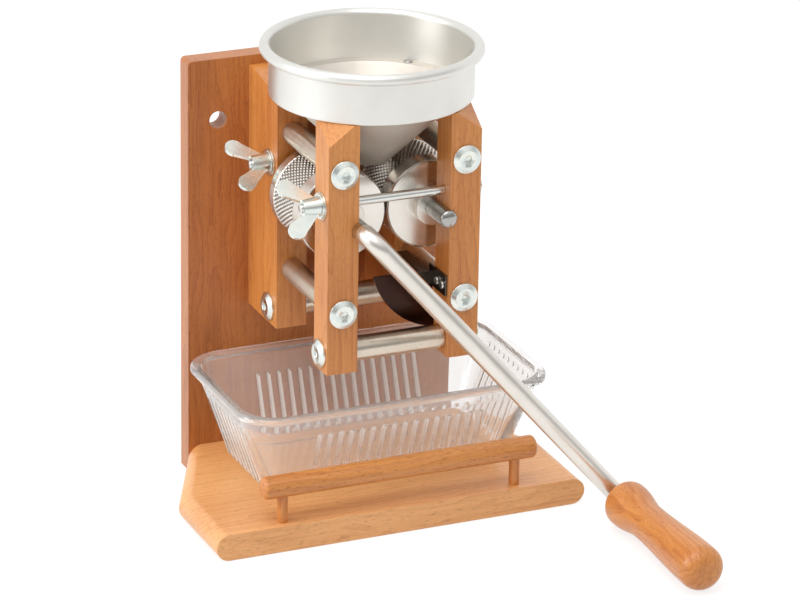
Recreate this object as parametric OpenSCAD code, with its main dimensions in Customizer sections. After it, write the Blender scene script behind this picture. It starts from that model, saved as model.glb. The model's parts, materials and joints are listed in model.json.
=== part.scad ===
// Hand-cranked grain flaker with two knurled rollers, a lift-off funnel and a glass dish.
// Origin: centre of the base board's underside. +Z is up and the crank side faces -Y.

/* [Base board] */
// Width of the base board along its front
base_w = 260; // [245:1:280]
// Depth of the base board, front to back
base_d = 143; // [138:1:165]
// Thickness of the base board
base_t = 18; // [15:0.5:22]
// Depth of the stretch where the base board narrows to the backboard
base_taper = 74; // [50:1:80]

/* [Backboard] */
// Width of the backboard
board_w = 190; // [180:1:210]
// Height of the backboard above the table
board_h = 288; // [284:1:310]
// Thickness of the backboard
board_t = 14; // [12:0.5:18]
// Radius of the backboard's top corners
board_corner = 3; // [1:0.5:8]
// Diameter of the two wall holes
wall_hole_d = 12; // [8:0.5:16]
// Distance between the wall holes
wall_hole_gap = 148; // [135:1:160]
// Drop from the backboard's top to the wall holes
wall_hole_in = 42; // [30:1:60]

/* [Posts] */
// Width of each post
post_w = 21; // [19:0.5:24]
// Clear width between the left and right posts
post_gap = 63; // [62:0.5:68]
// Length of each post
post_l = 166.5; // [160:0.5:172]
// Drop from the backboard's top to the posts' tops
post_drop = 6.5; // [4:0.5:14]
// Depth of the front posts
front_post_d = 22; // [20:0.5:26]
// Depth of the rear posts
rear_post_d = 50; // [46:0.5:51]
// Distance from the base board's front edge back to the front posts
post_setback = 7; // [3:0.5:9]
// Width of the corner bevel on top of the posts
bevel_w = 17; // [10:0.5:18]
// Length of the front posts' bevel from front to back
front_bevel_l = 18.5; // [12:0.5:19.5]
// Length of the rear posts' bevel from front to back
rear_bevel_l = 44; // [30:1:45]
// Drop of the front posts' bevel
front_bevel_h = 12.5; // [6:0.5:14]
// Drop of the rear posts' bevel
rear_bevel_h = 6.5; // [4:0.5:10]

/* [Rods] */
// Diameter of the side rods
side_rod_d = 15; // [12:0.5:16]
// Drop from the posts' tops to the upper side rods
upper_rod_in = 31.5; // [29:0.5:33]
// Rise from the posts' undersides to the lower side rods
lower_rod_in = 41; // [38:0.5:44]
// Diameter of the cross rods
cross_rod_d = 16; // [13:0.5:17]
// Rise from the posts' undersides to the cross rods
cross_rod_in = 11.5; // [10:0.5:14]
// Distance from the rear posts' front faces to the rear cross rod's axis
rear_cross_in = 13; // [10:0.5:16]
// Diameter of the spigots that hold the side rods in the rear posts
spigot_d = 8; // [6:0.5:9]
// Length of those spigots
spigot_l = 15; // [10:0.5:18]

/* [Rod bolts] */
// Thread diameter of the rod bolts
bolt_d = 6; // [5:0.5:7]
// Head diameter of the rod bolts
bolt_head_d = 19; // [16:0.5:19.5]
// Head thickness of the rod bolts
bolt_head_t = 3.5; // [2.5:0.5:5]
// Size across the flats of their hexagon sockets
socket_af = 5; // [4:0.5:6]
// Depth of those sockets
socket_l = 2.5; // [1.5:0.25:3]
// Depth of thread in each rod
bolt_grip = 15; // [10:0.5:18]

/* [Clamp bolts] */
// Thread diameter of the clamp bolts
clamp_d = 6; // [5:0.5:7]
// Drop from the posts' tops to the clamp bolts
clamp_in = 54.5; // [53:0.5:56]
// Distance from the rear posts' front faces to the rear clamp bolt's axis
rear_clamp_in = 12.5; // [9:0.5:16]
// Size across the flats of the clamp bolts' heads
clamp_head_af = 10; // [9:0.5:12]
// Thickness of the clamp bolts' heads
clamp_head_t = 4; // [3:0.5:5]
// Length of bolt that stands out of the wing nuts
clamp_tail = 1.5; // [0.5:0.5:4]
// Outer diameter of the washers
washer_d = 18; // [14:0.5:20]
// Thickness of each washer
washer_t = 1.2; // [1:0.1:1.6]
// Washers under each wing nut
washer_count = 2; // [1:1:3]
// Diameter of a wing nut's hub at the washer
wing_hub_d = 13; // [11:0.5:15]
// Diameter of a wing nut's hub at its outer end
wing_hub_end_d = 10.5; // [9:0.5:11]
// Length of a wing nut's hub
wing_hub_l = 11; // [9:0.5:13]
// Diameter of the round end of each wing
wing_lobe_d = 12; // [10:0.5:13]
// Distance from a wing nut's axis to the centre of each round end
wing_reach = 14.5; // [12:0.5:16]
// Distance from the washer to the centre of each round end
wing_rise = 18; // [13:0.5:20]
// Thickness of the wings
wing_t = 2.4; // [2:0.1:3]
// Turn of the front wing nut's wings above level
front_wing_turn = 46; // [0:1:90]
// Turn of the rear wing nut's wings above level
rear_wing_turn = 32; // [0:1:90]

/* [Rollers] */
// Outer diameter of the rollers over the knurl
roller_d = 59.2; // [57:0.1:59.6]
// Gap between the rollers, which sets how thin the flakes are
nip = 1.2; // [0.6:0.1:1.6]
// Drop from the posts' tops to the roller axes
axle_in = 70.5; // [69.5:0.5:72.5]
// Diameter of the roller shafts
axle_d = 12; // [11.8:0.1:12.6]
// Diameter of the bosses on both ends of a roller
boss_d = 24; // [20:0.5:28]
// Gap between a boss and the post that it runs against
boss_play = 0.3; // [0.2:0.1:0.4]
// Length of the boss on the crank side
front_boss_l = 7.2; // [6:0.1:9]
// Length of the boss on the backboard's side
rear_boss_l = 3.7; // [3:0.1:6]
// Length of the shaft in the rear posts
axle_tail = 24; // [18:0.5:30]
// Distance that the driven shaft stands out in front of its post
stub_out = 3.5; // [2:0.5:5]

/* [Crank] */
// Diameter of the crank arm's round bar
crank_d = 12.6; // [12:0.1:13]
// Distance from the posts' front faces to the crank arm's axis
crank_out = 17.5; // [16:0.5:24]
// Radius of the bend between the drive shaft and the arm, along the bar's axis
crank_bend = 12; // [9:0.5:16]
// Distance that the arm leans outward from the bend to the handle
crank_lean = 21.5; // [0:0.5:30]
// Distance from the drive axis to the handle's axis, seen along the drive axis
crank_r = 258.5; // [240:0.5:270]
// Gap between the table and the handle's collar as it stands
grip_lift = 0.2; // [0.1:0.1:20]
// Gap between the arm and the handle
grip_play = 0.3; // [0.2:0.1:0.5]
// Length of the crank handle
grip_l = 120; // [100:1:135]
// Diameter of the handle's collar beside the arm
collar_d = 31.4; // [28:0.2:31.4]
// Diameter of the handle's waist
waist_d = 25; // [22:0.5:27]
// Diameter of the handle's outer end
bulb_d = 30; // [28:0.5:31]
// Diameter of the spindle that the handle turns on
spindle_d = 8; // [6:0.5:10]
// Length of the spindle inside the handle
spindle_l = 85; // [60:1:95]

/* [Funnel] */
// Outer diameter of the funnel's band
band_d = 132; // [128:1:134]
// Height of the funnel's band
band_h = 34.7; // [25:0.1:45]
// Thickness of the funnel's sheet metal
sheet = 1; // [0.8:0.1:1.4]
// Diameter of the rolled lip's tube
lip_d = 7.2; // [4:0.1:8]
// Outer diameter of the cone's outlet
outlet_d = 23; // [21:0.5:25]
// Drop from the posts' tops to the cone's outlet
outlet_in = 45.5; // [43.5:0.25:46]
// Radius at which the cone turns out into its flat rim
cone_r = 57.5; // [52:0.5:58]
// Distance of the funnel's middle in front of the middle of the base board
funnel_fwd = 8; // [6:0.5:11]
// Clearance between the posts' cut tops and the cone
seat_gap = 0.3; // [0.3:0.1:0.8]
// Number of rivets that hold the cone's rim to the band's foot
rivet_count = 3; // [3:1:6]
// Distance from the funnel's axis to the rivets
rivet_r = 61; // [60:0.25:61.5]
// Diameter of the rivets
rivet_d = 3; // [2:0.5:4]
// Diameter of their heads
rivet_head_d = 6.5; // [5:0.5:6.5]
// Turn of the first rivet from the right
rivet_turn = 44; // [0:1:90]

/* [Guard] */
// Radius of the guard plate's round lower edge
guard_r = 51.8; // [48:0.2:53]
// Thickness of the guard plate
guard_t = 1.5; // [1:0.1:2]
// Rise from the posts' undersides to the guard plate's top edge
guard_in = 51; // [49:0.5:52]
// Gap between the front posts and the guard plate
guard_gap = 6; // [4:0.5:7]
// Width of the guard plate along its top edge
guard_w = 38; // [30:0.5:40]
// Length of the folded strip along the guard plate's top
flange_l = 38; // [20:1:45]

/* [Rail] */
// Length of the rail
rail_l = 192; // [180:1:210]
// Diameter of the rail
rail_d = 15; // [12:0.5:17]
// Gap between the base board and the rail
rail_gap = 17.5; // [14:0.5:22]
// Distance from the base board's front edge back to the rail's axis
rail_in = 8; // [7.5:0.5:10]
// Diameter of the two pegs
peg_d = 7; // [5:0.5:9]
// Distance from the rail's ends to the pegs
peg_in = 14; // [10:0.5:25]
// Depth of the pegs in the base board
peg_depth = 10; // [6:0.5:13]

/* [Dish] */
// Length of the dish over its rim
dish_l = 218; // [200:1:222]
// Width of the dish over its rim
dish_w = 128; // [118:1:130]
// Height of the dish
dish_h = 68; // [55:1:72]
// Thickness of the glass
glass_t = 4; // [3:0.25:5]
// Slope of the sides: how much narrower the bottom is on each side
dish_slope = 25; // [20:0.5:28]
// Radius of the rim's corners
dish_corner = 26; // [20:1:32]
// Distance of the dish's middle to the right of the middle plane
dish_shift = 6; // [0:0.5:10]
// Width of the rim's bead outside the wall
bead_w = 2.5; // [1.5:0.25:3]
// Height of the rim's bead
bead_h = 5; // [3:0.5:7]

/* [Fits] */
// Radial clearance of turning shafts and of the handle
run_fit = 0.05; // [0.02:0.01:0.1]
// Radial clearance of bolts and pegs in their holes
hole_fit = 0.1; // [0.05:0.01:0.3]
// Distance between a lifted-off piece and what it stands on
rest_gap = 0.1; // [0.05:0.05:0.2]

/* [Hidden] */
$fn = 96;
eps = 0.01;

front_y = post_setback - base_d / 2;
back_y = base_d / 2;
rear_y = back_y - rear_post_d;
post_top = board_h - post_drop;
post_z = post_top - post_l;
wall_hole_z = board_h - wall_hole_in;
upper_rod_z = post_top - upper_rod_in;
lower_rod_z = post_z + lower_rod_in;
cross_rod_z = post_z + cross_rod_in;
clamp_z = post_top - clamp_in;
axle_z = post_top - axle_in;
guard_top = post_z + guard_in;
post_x = (post_gap + post_w) / 2;
inner_x = post_gap / 2;
outer_x = inner_x + post_w;
front_back_y = front_y + front_post_d;
front_mid_y = front_y + front_post_d / 2;
rear_cross_y = rear_y + rear_cross_in;
rear_clamp_y = rear_y + rear_clamp_in;

axle_x = (roller_d + nip) / 2;
roller_y = front_back_y + boss_play + front_boss_l;
roller_l = rear_y - boss_play - rear_boss_l - roller_y;

crank_y = front_y - crank_out;
lean = atan(crank_lean / crank_r);
bend_l = crank_bend * tan((90 - lean) / 2);
bend_y = crank_y + bend_l;
arm_y = crank_y - crank_lean;
arm_half = crank_d / 2 * (1 / cos(lean) + tan(lean));
grip_z = collar_d / 2 + grip_lift;
crank_drop = asin((axle_z - grip_z) / crank_r);
grip_x = crank_r * cos(crank_drop) - axle_x;
grip_y = arm_y - arm_half - grip_play;

funnel_y = -funnel_fwd;
outlet_z = post_top - outlet_in;
band_z = post_top + rest_gap;
rim_z = band_z + sheet + hole_fit;
rim_r = band_d / 2 - sheet - hole_fit;
cone_slope = (cone_r - outlet_d / 2) / (rim_z - outlet_z);
cone_wall = sheet * norm([1, cone_slope]);

washer_x = -outer_x - washer_count * washer_t;
rail_y = rail_in - base_d / 2;
rail_z = base_t + rail_gap + rail_d / 2;
dish_y = (rail_y + back_y) / 2 + 0.8;

beech = [0.85, 0.60, 0.38];
dark_beech = [0.72, 0.45, 0.26];
steel = [0.66, 0.65, 0.62];
zinc = [0.80, 0.82, 0.84];
aluminium = [0.86, 0.87, 0.87];
bronze = [0.36, 0.24, 0.16];
glass = [0.86, 0.90, 0.90, 0.45];

// Cylinder from the point p along -Y or +Y (l below or above 0)
module along_y(p, d, l) {
    translate(p)
        rotate([l > 0 ? -90 : 90, 0, 0])
            cylinder(d = d, h = abs(l));
}

// Cylinder from the point p along -X or +X (l below or above 0)
module along_x(p, d, l) {
    translate(p)
        rotate([0, l > 0 ? 90 : -90, 0])
            cylinder(d = d, h = abs(l));
}

// Draws its children on the right and mirrored on the left
module both_sides() {
    children();
    mirror([1, 0, 0])
        children();
}

// Countersunk wood screw with its head's face at p, driven along -Y
module wood_screw(p, l) {
    translate(p)
        rotate([90, 0, 0]) {
            difference() {
                cylinder(d1 = screw_head_d, d2 = screw_d, h = screw_head_t);
                translate([0, 0, -eps])
                    cylinder(d = screw_d * 0.7, h = screw_d * 0.4, $fn = 6);
            }
            translate([0, 0, screw_head_t - eps])
                cylinder(d = screw_d, h = l - screw_head_t - screw_d);
            translate([0, 0, l - screw_d - eps])
                cylinder(d1 = screw_d, d2 = 1, h = screw_d);
        }
}

// Room that a wood screw takes, with the hole clearance around it
module wood_screw_hole(p, l) {
    translate(p)
        rotate([90, 0, 0]) {
            translate([0, 0, -eps])
                cylinder(d1 = screw_head_d + 2 * hole_fit, d2 = screw_d + 2 * hole_fit, h = screw_head_t + eps);
            cylinder(d = screw_d + 2 * hole_fit, h = l + 1);
        }
}

screw_d = 5;
screw_head_d = 9.5;
screw_head_t = 2.5;
screw_l = 42;
base_screw_x = [-0.72, 0, 0.72] * board_w / 2;
post_screw_z = [post_z + 27, post_top - 24];

// Points of a round corner about c with radius r, from angle a0 to angle a1
function corner_points(c, r, a0, a1) =
    [for (i = [0 : 8]) let (a = a0 + (a1 - a0) * i / 8) c + r * [cos(a), sin(a)]];

module both_sides_2d() {
    children();
    mirror([1, 0])
        children();
}

// The same points on the left, in reverse order
function mirror_points(points) = [for (i = [len(points) - 1 : -1 : 0]) [-points[i][0], points[i][1]]];

// Wide slab whose half-round edge lies on the line through p, turned by turn from the Y axis
module round_edged_slab(p, turn) {
    r = base_t / 2;
    room = 2 * (base_w + base_d);
    edge = [for (a = [-90 : 10 : 90]) [r * cos(a) - r, r * sin(a) + r]];
    translate(p)
        rotate([90, 0, turn])
            linear_extrude(room, center = true)
                polygon(concat([[-room, 0]], edge, [[-room, base_t]]));
}

// Solid of the base board: flat in front and behind, with half-round edges along its sides and tapers
module base_slab() {
    intersection() {
        translate([-base_w / 2 - 1, -back_y, 0])
            cube([base_w + 2, base_d, base_t]);
        round_edged_slab([base_w / 2, 0, 0], 0);
        mirror([1, 0, 0])
            round_edged_slab([base_w / 2, 0, 0], 0);
        round_edged_slab([board_w / 2, back_y, 0], atan2((base_w - board_w) / 2, base_taper));
        mirror([1, 0, 0])
            round_edged_slab([board_w / 2, back_y, 0], atan2((base_w - board_w) / 2, base_taper));
    }
}

module base_board() {
    color(beech)
        difference() {
            base_slab();
            both_sides()
                translate([rail_l / 2 - peg_in, rail_y, base_t - peg_depth - hole_fit])
                    cylinder(d = peg_d + 2 * hole_fit, h = peg_depth + 1);
            for (x = base_screw_x)
                wood_screw_hole([x, back_y + board_t, base_t / 2], screw_l);
        }
}

module backboard() {
    color(dark_beech)
        difference() {
            translate([0, back_y + board_t, 0])
                rotate([90, 0, 0])
                    linear_extrude(board_t)
                        board_outline();
            both_sides()
                along_y([wall_hole_gap / 2, back_y - 1, wall_hole_z], wall_hole_d, board_t + 2);
            for (x = base_screw_x)
                wood_screw_hole([x, back_y + board_t, base_t / 2], screw_l);
            both_sides()
                for (z = post_screw_z)
                    wood_screw_hole([post_x, back_y + board_t, z], screw_l);
        }
}

module board_outline() {
    corner = [board_w / 2 - board_corner, board_h - board_corner];
    right = concat([[board_w / 2, 0]], corner_points(corner, board_corner, 0, 90));
    polygon(concat(right, mirror_points(right)));
}

// Half space above the plane that bevels the outer front corner at p: wx and wy along the top, h down
module corner_bevel(p, wx, wy, h) {
    room = post_w + rear_post_d;
    translate(p)
        rotate([0, 0, atan2(-wx, wy)])
            rotate([0, atan(h * norm([wx, wy]) / (wx * wy)), 0])
                translate([-room, -room, 0])
                    cube([2 * room, 2 * room, room]);
}

// Cone that the funnel's cone sinks into, with the seat clearance around it
module funnel_seat() {
    low_r = outlet_d / 2 + seat_gap;
    high_r = cone_r + seat_gap;
    translate([0, funnel_y, outlet_z])
        cylinder(r1 = low_r, r2 = high_r, h = rim_z - outlet_z);
}

// One right-hand post from y along +Y, with the shaft's groove, the funnel's seat and the clamp bolt's hole
module post(y, d, groove_y, groove_l, clamp_y) {
    difference() {
        translate([inner_x, y, post_z])
            cube([post_w, d, post_top - post_z]);
        along_y([axle_x, groove_y, axle_z], axle_d + 2 * run_fit, groove_l);
        funnel_seat();
        along_x([inner_x - 1, clamp_y, clamp_z], clamp_d + 2 * hole_fit + 0.3, post_w + 2);
        children();
    }
}

module front_post() {
    post(front_y, front_post_d, front_y - 1, front_post_d + 2, front_mid_y) {
        for (z = [upper_rod_z, lower_rod_z])
            along_y([post_x, front_y - 1, z], bolt_d + 2 * hole_fit, front_post_d + 2);
        along_x([inner_x - 1, front_mid_y, cross_rod_z], bolt_d + 2 * hole_fit, post_w + 2);
        corner_bevel([outer_x - bevel_w, front_y, post_top], bevel_w, front_bevel_l, front_bevel_h);
        translate([inner_x, front_mid_y, guard_top - 2])
            guard_screw_pair(hole_fit);
    }
}

module rear_post() {
    post(rear_y, rear_post_d, rear_y - 1, axle_tail + 2, rear_clamp_y) {
        for (z = [upper_rod_z, lower_rod_z])
            along_y([post_x, rear_y - 1, z], spigot_d + 2 * hole_fit, spigot_l + 1.5);
        along_x([inner_x - 1, rear_cross_y, cross_rod_z], bolt_d + 2 * hole_fit, post_w + 2);
        corner_bevel([outer_x - bevel_w, rear_y, post_top], bevel_w, rear_bevel_l, rear_bevel_h);
        for (z = post_screw_z)
            wood_screw_hole([post_x, back_y + board_t, z], screw_l);
    }
}

module front_right_post() {
    color(beech)
        front_post();
}

module front_left_post() {
    color(beech)
        mirror([1, 0, 0])
            front_post();
}

module rear_right_post() {
    color(beech)
        rear_post();
}

module rear_left_post() {
    color(beech)
        mirror([1, 0, 0])
            rear_post();
}

module rail_bar() {
    round_r = 3;
    color(beech)
        difference() {
            translate([-rail_l / 2, rail_y, rail_z])
                rotate([0, 90, 0])
                    rotate_extrude() {
                        square([rail_d / 2 - round_r, rail_l]);
                        translate([0, round_r])
                            square([rail_d / 2, rail_l - 2 * round_r]);
                        for (z = [round_r, rail_l - round_r])
                            translate([rail_d / 2 - round_r, z])
                                circle(r = round_r);
                    }
            both_sides()
                translate([rail_l / 2 - peg_in, rail_y, base_t])
                    cylinder(d = peg_d + 2 * hole_fit, h = rail_gap + rail_d / 2 + hole_fit);
        }
}

module rail_pegs() {
    color(beech)
        both_sides()
            translate([rail_l / 2 - peg_in, rail_y, base_t - peg_depth])
                cylinder(d = peg_d, h = peg_depth + rail_gap + rail_d / 2);
}

module base_screws() {
    color(zinc)
        for (x = base_screw_x)
            wood_screw([x, back_y + board_t, base_t / 2], screw_l);
}

module post_screws() {
    color(zinc)
        both_sides()
            for (z = post_screw_z)
                wood_screw([post_x, back_y + board_t, z], screw_l);
}

// Right-hand side rod: a bar with a spigot in the rear post and a threaded hole for the front bolt
module side_rod(z) {
    color(steel)
        difference() {
            union() {
                along_y([post_x, front_back_y, z], side_rod_d, rear_y - front_back_y);
                along_y([post_x, rear_y - eps, z], spigot_d, spigot_l);
            }
            along_y([post_x, front_back_y - 1, z], bolt_d, bolt_grip + 2);
        }
}

module upper_right_rod() {
    side_rod(upper_rod_z);
}

module upper_left_rod() {
    mirror([1, 0, 0])
        side_rod(upper_rod_z);
}

module lower_right_rod() {
    side_rod(lower_rod_z);
}

module lower_left_rod() {
    mirror([1, 0, 0])
        side_rod(lower_rod_z);
}

// Bar between a left and a right post, with a threaded hole in each end
module cross_rod(y) {
    color(steel)
        difference() {
            along_x([-inner_x, y, cross_rod_z], cross_rod_d, post_gap);
            both_sides()
                along_x([inner_x - bolt_grip - 1, y, cross_rod_z], bolt_d, bolt_grip + 2);
        }
}

module front_cross_rod() {
    cross_rod(front_mid_y);
}

module rear_cross_rod() {
    cross_rod(rear_cross_y);
}

// Rod bolt with its head's underside at the origin, its shank along -Z and the shank's length l
module rod_bolt(l) {
    rim = 0.8;
    shank_d = bolt_d - 2 * run_fit;
    difference() {
        union() {
            cylinder(d = bolt_head_d, h = bolt_head_t - rim);
            translate([0, 0, bolt_head_t - rim - eps])
                cylinder(d1 = bolt_head_d, d2 = bolt_head_d - 3, h = rim + eps);
            translate([0, 0, -l])
                cylinder(d = shank_d, h = l + eps);
        }
        translate([0, 0, bolt_head_t - socket_l])
            cylinder(d = socket_af / cos(30), h = socket_l + 1, $fn = 6);
    }
}

module side_rod_bolts() {
    color(zinc)
        both_sides()
            for (z = [upper_rod_z, lower_rod_z])
                translate([post_x, front_y, z])
                    rotate([90, 0, 0])
                        rod_bolt(front_post_d + bolt_grip);
}

module cross_rod_bolts() {
    color(zinc)
        both_sides()
            for (y = [front_mid_y, rear_cross_y])
                translate([outer_x, y, cross_rod_z])
                    rotate([0, 90, 0])
                        rod_bolt(post_w + bolt_grip);
}

// Clamp bolt: head outside the right post, thread through both posts, washers and wing nut
module clamp_bolt(y) {
    tip_x = washer_x - wing_hub_l - clamp_tail;
    color(zinc) {
        translate([outer_x, y, clamp_z])
            rotate([0, 90, 0])
                cylinder(d = clamp_head_af / cos(30), h = clamp_head_t, $fn = 6);
        along_x([tip_x, y, clamp_z], clamp_d, outer_x - tip_x + eps);
    }
}

module front_clamp_bolt() {
    clamp_bolt(front_mid_y);
}

module rear_clamp_bolt() {
    clamp_bolt(rear_clamp_y);
}

module clamp_washers() {
    color(zinc)
        for (y = [front_mid_y, rear_clamp_y])
            for (i = [0 : washer_count - 1])
                difference() {
                    along_x([-outer_x - i * washer_t, y, clamp_z], washer_d - i, 2 * eps - washer_t);
                    along_x([-outer_x + 1, y, clamp_z], clamp_d + 2 * hole_fit, -washer_t * washer_count - 2);
                }
}

// Wing nut on the bolt axis at y, with its wings turned up from level
module wing_nut(y, turn) {
    color(zinc)
        translate([washer_x - rest_gap, y, clamp_z])
            rotate([turn, 0, 0])
                rotate([0, -90, 0])
                    rotate([0, 0, 90])
                        difference() {
                            union() {
                                cylinder(d1 = wing_hub_d, d2 = wing_hub_end_d, h = wing_hub_l - rest_gap);
                                rotate([90, 0, 0])
                                    translate([0, 0, -wing_t / 2])
                                        linear_extrude(wing_t)
                                            both_sides_2d()
                                                wing_outline();
                            }
                            translate([0, 0, -1])
                                cylinder(d = clamp_d + 2 * run_fit, h = wing_rise + wing_lobe_d);
                        }
}

// One wing: from the hub up and out to its round end
module wing_outline() {
    translate([wing_reach, wing_rise])
        circle(d = wing_lobe_d);
    lobe_r = wing_lobe_d / 2;
    root_x = clamp_d * 0.6;
    foot = [wing_hub_d * 0.45, wing_hub_l * 0.1];
    tip = [wing_reach, wing_rise];
    side = [tip[1] - foot[1], foot[0] - tip[0]] / norm(tip - foot);
    polygon([
        [root_x, foot[1]], foot, tip + lobe_r * side * 0.98,
        tip - lobe_r * side * 0.98, [root_x, wing_hub_l * 0.85]
    ]);
}

module front_wing_nut() {
    wing_nut(front_mid_y, front_wing_turn);
}

module rear_wing_nut() {
    wing_nut(rear_clamp_y, rear_wing_turn);
}

// Roller on the axis at x: a knurled face between two bosses, bored for its shaft
module roller(x) {
    color(steel)
        translate([x, roller_y, axle_z])
            rotate([-90, 0, 0])
                difference() {
                    union() {
                        cylinder(d = roller_d, h = roller_l);
                        translate([0, 0, -front_boss_l])
                            cylinder(d = boss_d, h = front_boss_l + roller_l + rear_boss_l);
                    }
                    translate([0, 0, -front_boss_l - 1])
                        cylinder(d = axle_d + 2 * run_fit, h = front_boss_l + roller_l + rear_boss_l + 2);
                }
}

module drive_roller() {
    roller(-axle_x);
}

module driven_roller() {
    roller(axle_x);
}

module drive_shaft() {
    color(steel)
        along_y([-axle_x, bend_y, axle_z], axle_d, rear_y + axle_tail - bend_y);
}

module driven_shaft() {
    dome = 1.5;
    color(steel) {
        along_y([axle_x, front_y - stub_out + dome - eps, axle_z], axle_d, rear_y + axle_tail - front_y + stub_out - dome);
        translate([axle_x, front_y - stub_out + dome, axle_z])
            rotate([90, 0, 0])
                cylinder(d1 = axle_d, d2 = axle_d - 2.5 * dome, h = dome);
    }
}

// Round bar from the drive shaft through its bend down to the handle, bored for the spindle
module crank_arm() {
    arm_l = norm([crank_r, crank_lean]) + crank_d / 2;
    color(steel)
        difference() {
            translate([-axle_x, 0, axle_z])
                rotate([0, crank_drop, 0]) {
                    translate([crank_bend, bend_y, 0])
                        rotate([0, 0, 180])
                            rotate_extrude(angle = 90 - lean)
                                translate([crank_bend, 0])
                                    circle(d = crank_d);
                    translate([0, crank_y, 0])
                        rotate([0, 0, -lean]) {
                            along_x([bend_l, 0, 0], crank_d, arm_l - bend_l);
                            along_x([bend_l - 1, 0, 0], crank_d * 0.8, 2);
                        }
                }
            along_y([grip_x, arm_y - crank_d, grip_z], spindle_d + 2 * hole_fit, 2 * crank_d);
        }
}

module grip_spindle() {
    color(steel)
        along_y([grip_x, arm_y + crank_d / 2, grip_z], spindle_d, grip_y - spindle_l - arm_y - crank_d / 2);
}

// Radius of the handle at a distance t from the arm, from its collar over the waist to the round end
function grip_r(t) =
    let (u = t / grip_l, waist_u = 0.3, bulb_u = 0.88)
    u < waist_u
        ? waist_d / 2 + (collar_d - waist_d) / 2 * (0.5 + 0.5 * cos(180 * max(0, u - 0.07) / (waist_u - 0.07)))
        : waist_d / 2 + (bulb_d - waist_d) / 2 * (0.5 - 0.5 * cos(180 * min(1, (u - waist_u) / (bulb_u - waist_u))));

module crank_handle() {
    steps = 24;
    round_in = 5;
    round_out = 10;
    body = [for (i = [0 : steps]) let (t = round_in + (grip_l - round_in - round_out) * i / steps) [grip_r(t), t]];
    start = [for (a = [0 : 15 : 75]) [grip_r(round_in) - round_in * (1 - sin(a)), round_in * (1 - cos(a))]];
    end = [for (a = [15 : 15 : 90]) [bulb_d / 2 - round_out * (1 - cos(a)), grip_l - round_out * (1 - sin(a))]];
    color(beech)
        translate([grip_x, grip_y, grip_z])
            rotate([90, 0, 0])
                difference() {
                    rotate_extrude()
                        polygon(concat([[0, 0]], start, body, end, [[0, grip_l]]));
                    translate([0, 0, -1])
                        cylinder(d = spindle_d + 2 * run_fit, h = spindle_l + 2);
                }
}

guard_y = front_back_y + guard_gap;
guard_left = -7;
guard_right = guard_left + guard_w;
guard_mid = [42, guard_top + 11.5];

// The guard plate: straight top, round lower edge, straight right edge, and a strip folded back from its top
module guard_plate() {
    color(bronze) {
        translate([0, guard_y + guard_t, 0])
            rotate([90, 0, 0])
                linear_extrude(guard_t)
                    intersection() {
                        translate(guard_mid)
                            circle(r = guard_r);
                        polygon([
                            [guard_left - 20, guard_top - 60], [guard_right + 4.5, guard_top - 60],
                            [guard_right + 4.5, guard_top - 32], [guard_right, guard_top],
                            [guard_left - 20, guard_top]
                        ]);
                    }
        translate([guard_right - flange_w, guard_y, guard_top - guard_t])
            cube([flange_w, flange_l, guard_t]);
    }
}

flange_w = 8;
bracket_t = 1.5;
bracket_h = 14;
guard_screw_d = 3;

// Two small screws side by side that point into the post
module guard_screw_pair(gap) {
    for (y = [-5, 3])
        along_x([-bracket_t - eps, y, 0], guard_screw_d + 2 * gap, 12);
}

// Angle that joins the guard plate to the right front post's inner face
module guard_bracket() {
    leg_x = inner_x - bracket_t;
    color(bronze)
        difference() {
            union() {
                translate([leg_x, front_mid_y - 9, guard_top - 2 - bracket_h / 2])
                    cube([bracket_t, guard_y - front_mid_y + 9, bracket_h]);
                translate([leg_x - 9, guard_y - bracket_t, guard_top - 2 - bracket_h / 2])
                    cube([9 + bracket_t, bracket_t, bracket_h - 5]);
            }
            translate([inner_x, front_mid_y, guard_top - 2])
                guard_screw_pair(hole_fit);
        }
}

module guard_screws() {
    head_t = 1.6;
    color(zinc)
        translate([inner_x, front_mid_y, guard_top - 2]) {
            guard_screw_pair(0);
            for (y = [-5, 3])
                along_x([-bracket_t - head_t, y, 0], 5.5, head_t);
        }
}

// Band with a rolled lip on top and a flat foot turned in at the bottom
module funnel_band() {
    r = band_d / 2;
    foot_r = cone_r + seat_gap;
    color(aluminium)
        translate([0, funnel_y, band_z])
            difference() {
                rotate_extrude() {
                    translate([foot_r, 0])
                        square([r - foot_r, sheet]);
                    translate([r - sheet, 0])
                        square([sheet, band_h - lip_d / 2]);
                    translate([r - sheet + lip_d / 2, band_h - lip_d / 2])
                        circle(d = lip_d, $fn = 48);
                }
                rivets_at(rivet_d + 2 * hole_fit, -1, 4 * sheet);
            }
}

// Rivet shanks or holes d wide, from z0 above the band's underside and l long
module rivets_at(d, z0, l) {
    for (i = [0 : rivet_count - 1])
        rotate([0, 0, rivet_turn + 360 / rivet_count * i])
            translate([rivet_r, 0, z0])
                cylinder(d = d, h = l);
}

// Cone with a flat rim that lies on the band's foot
module funnel_cone() {
    out_r = outlet_d / 2;
    color(steel)
        translate([0, funnel_y, 0])
            difference() {
                rotate_extrude()
                    polygon([
                        [out_r, outlet_z], [cone_r, rim_z], [rim_r, rim_z], [rim_r, rim_z + sheet],
                        [cone_r - cone_wall + cone_slope * sheet, rim_z + sheet], [out_r - cone_wall, outlet_z]
                    ]);
                translate([0, 0, band_z])
                    rivets_at(rivet_d + 2 * hole_fit, -1, 4 * sheet);
            }
}

module funnel_rivets() {
    head_t = 1.2;
    grip = 2 * sheet + hole_fit;
    color(steel)
        translate([0, funnel_y, band_z]) {
            rivets_at(rivet_d, 0, grip + head_t / 2);
            for (i = [0 : rivet_count - 1])
                rotate([0, 0, rivet_turn + 360 / rivet_count * i])
                    translate([rivet_r, 0, grip])
                        cylinder(d1 = rivet_head_d, d2 = rivet_head_d - 2, h = head_t);
        }
}

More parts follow.
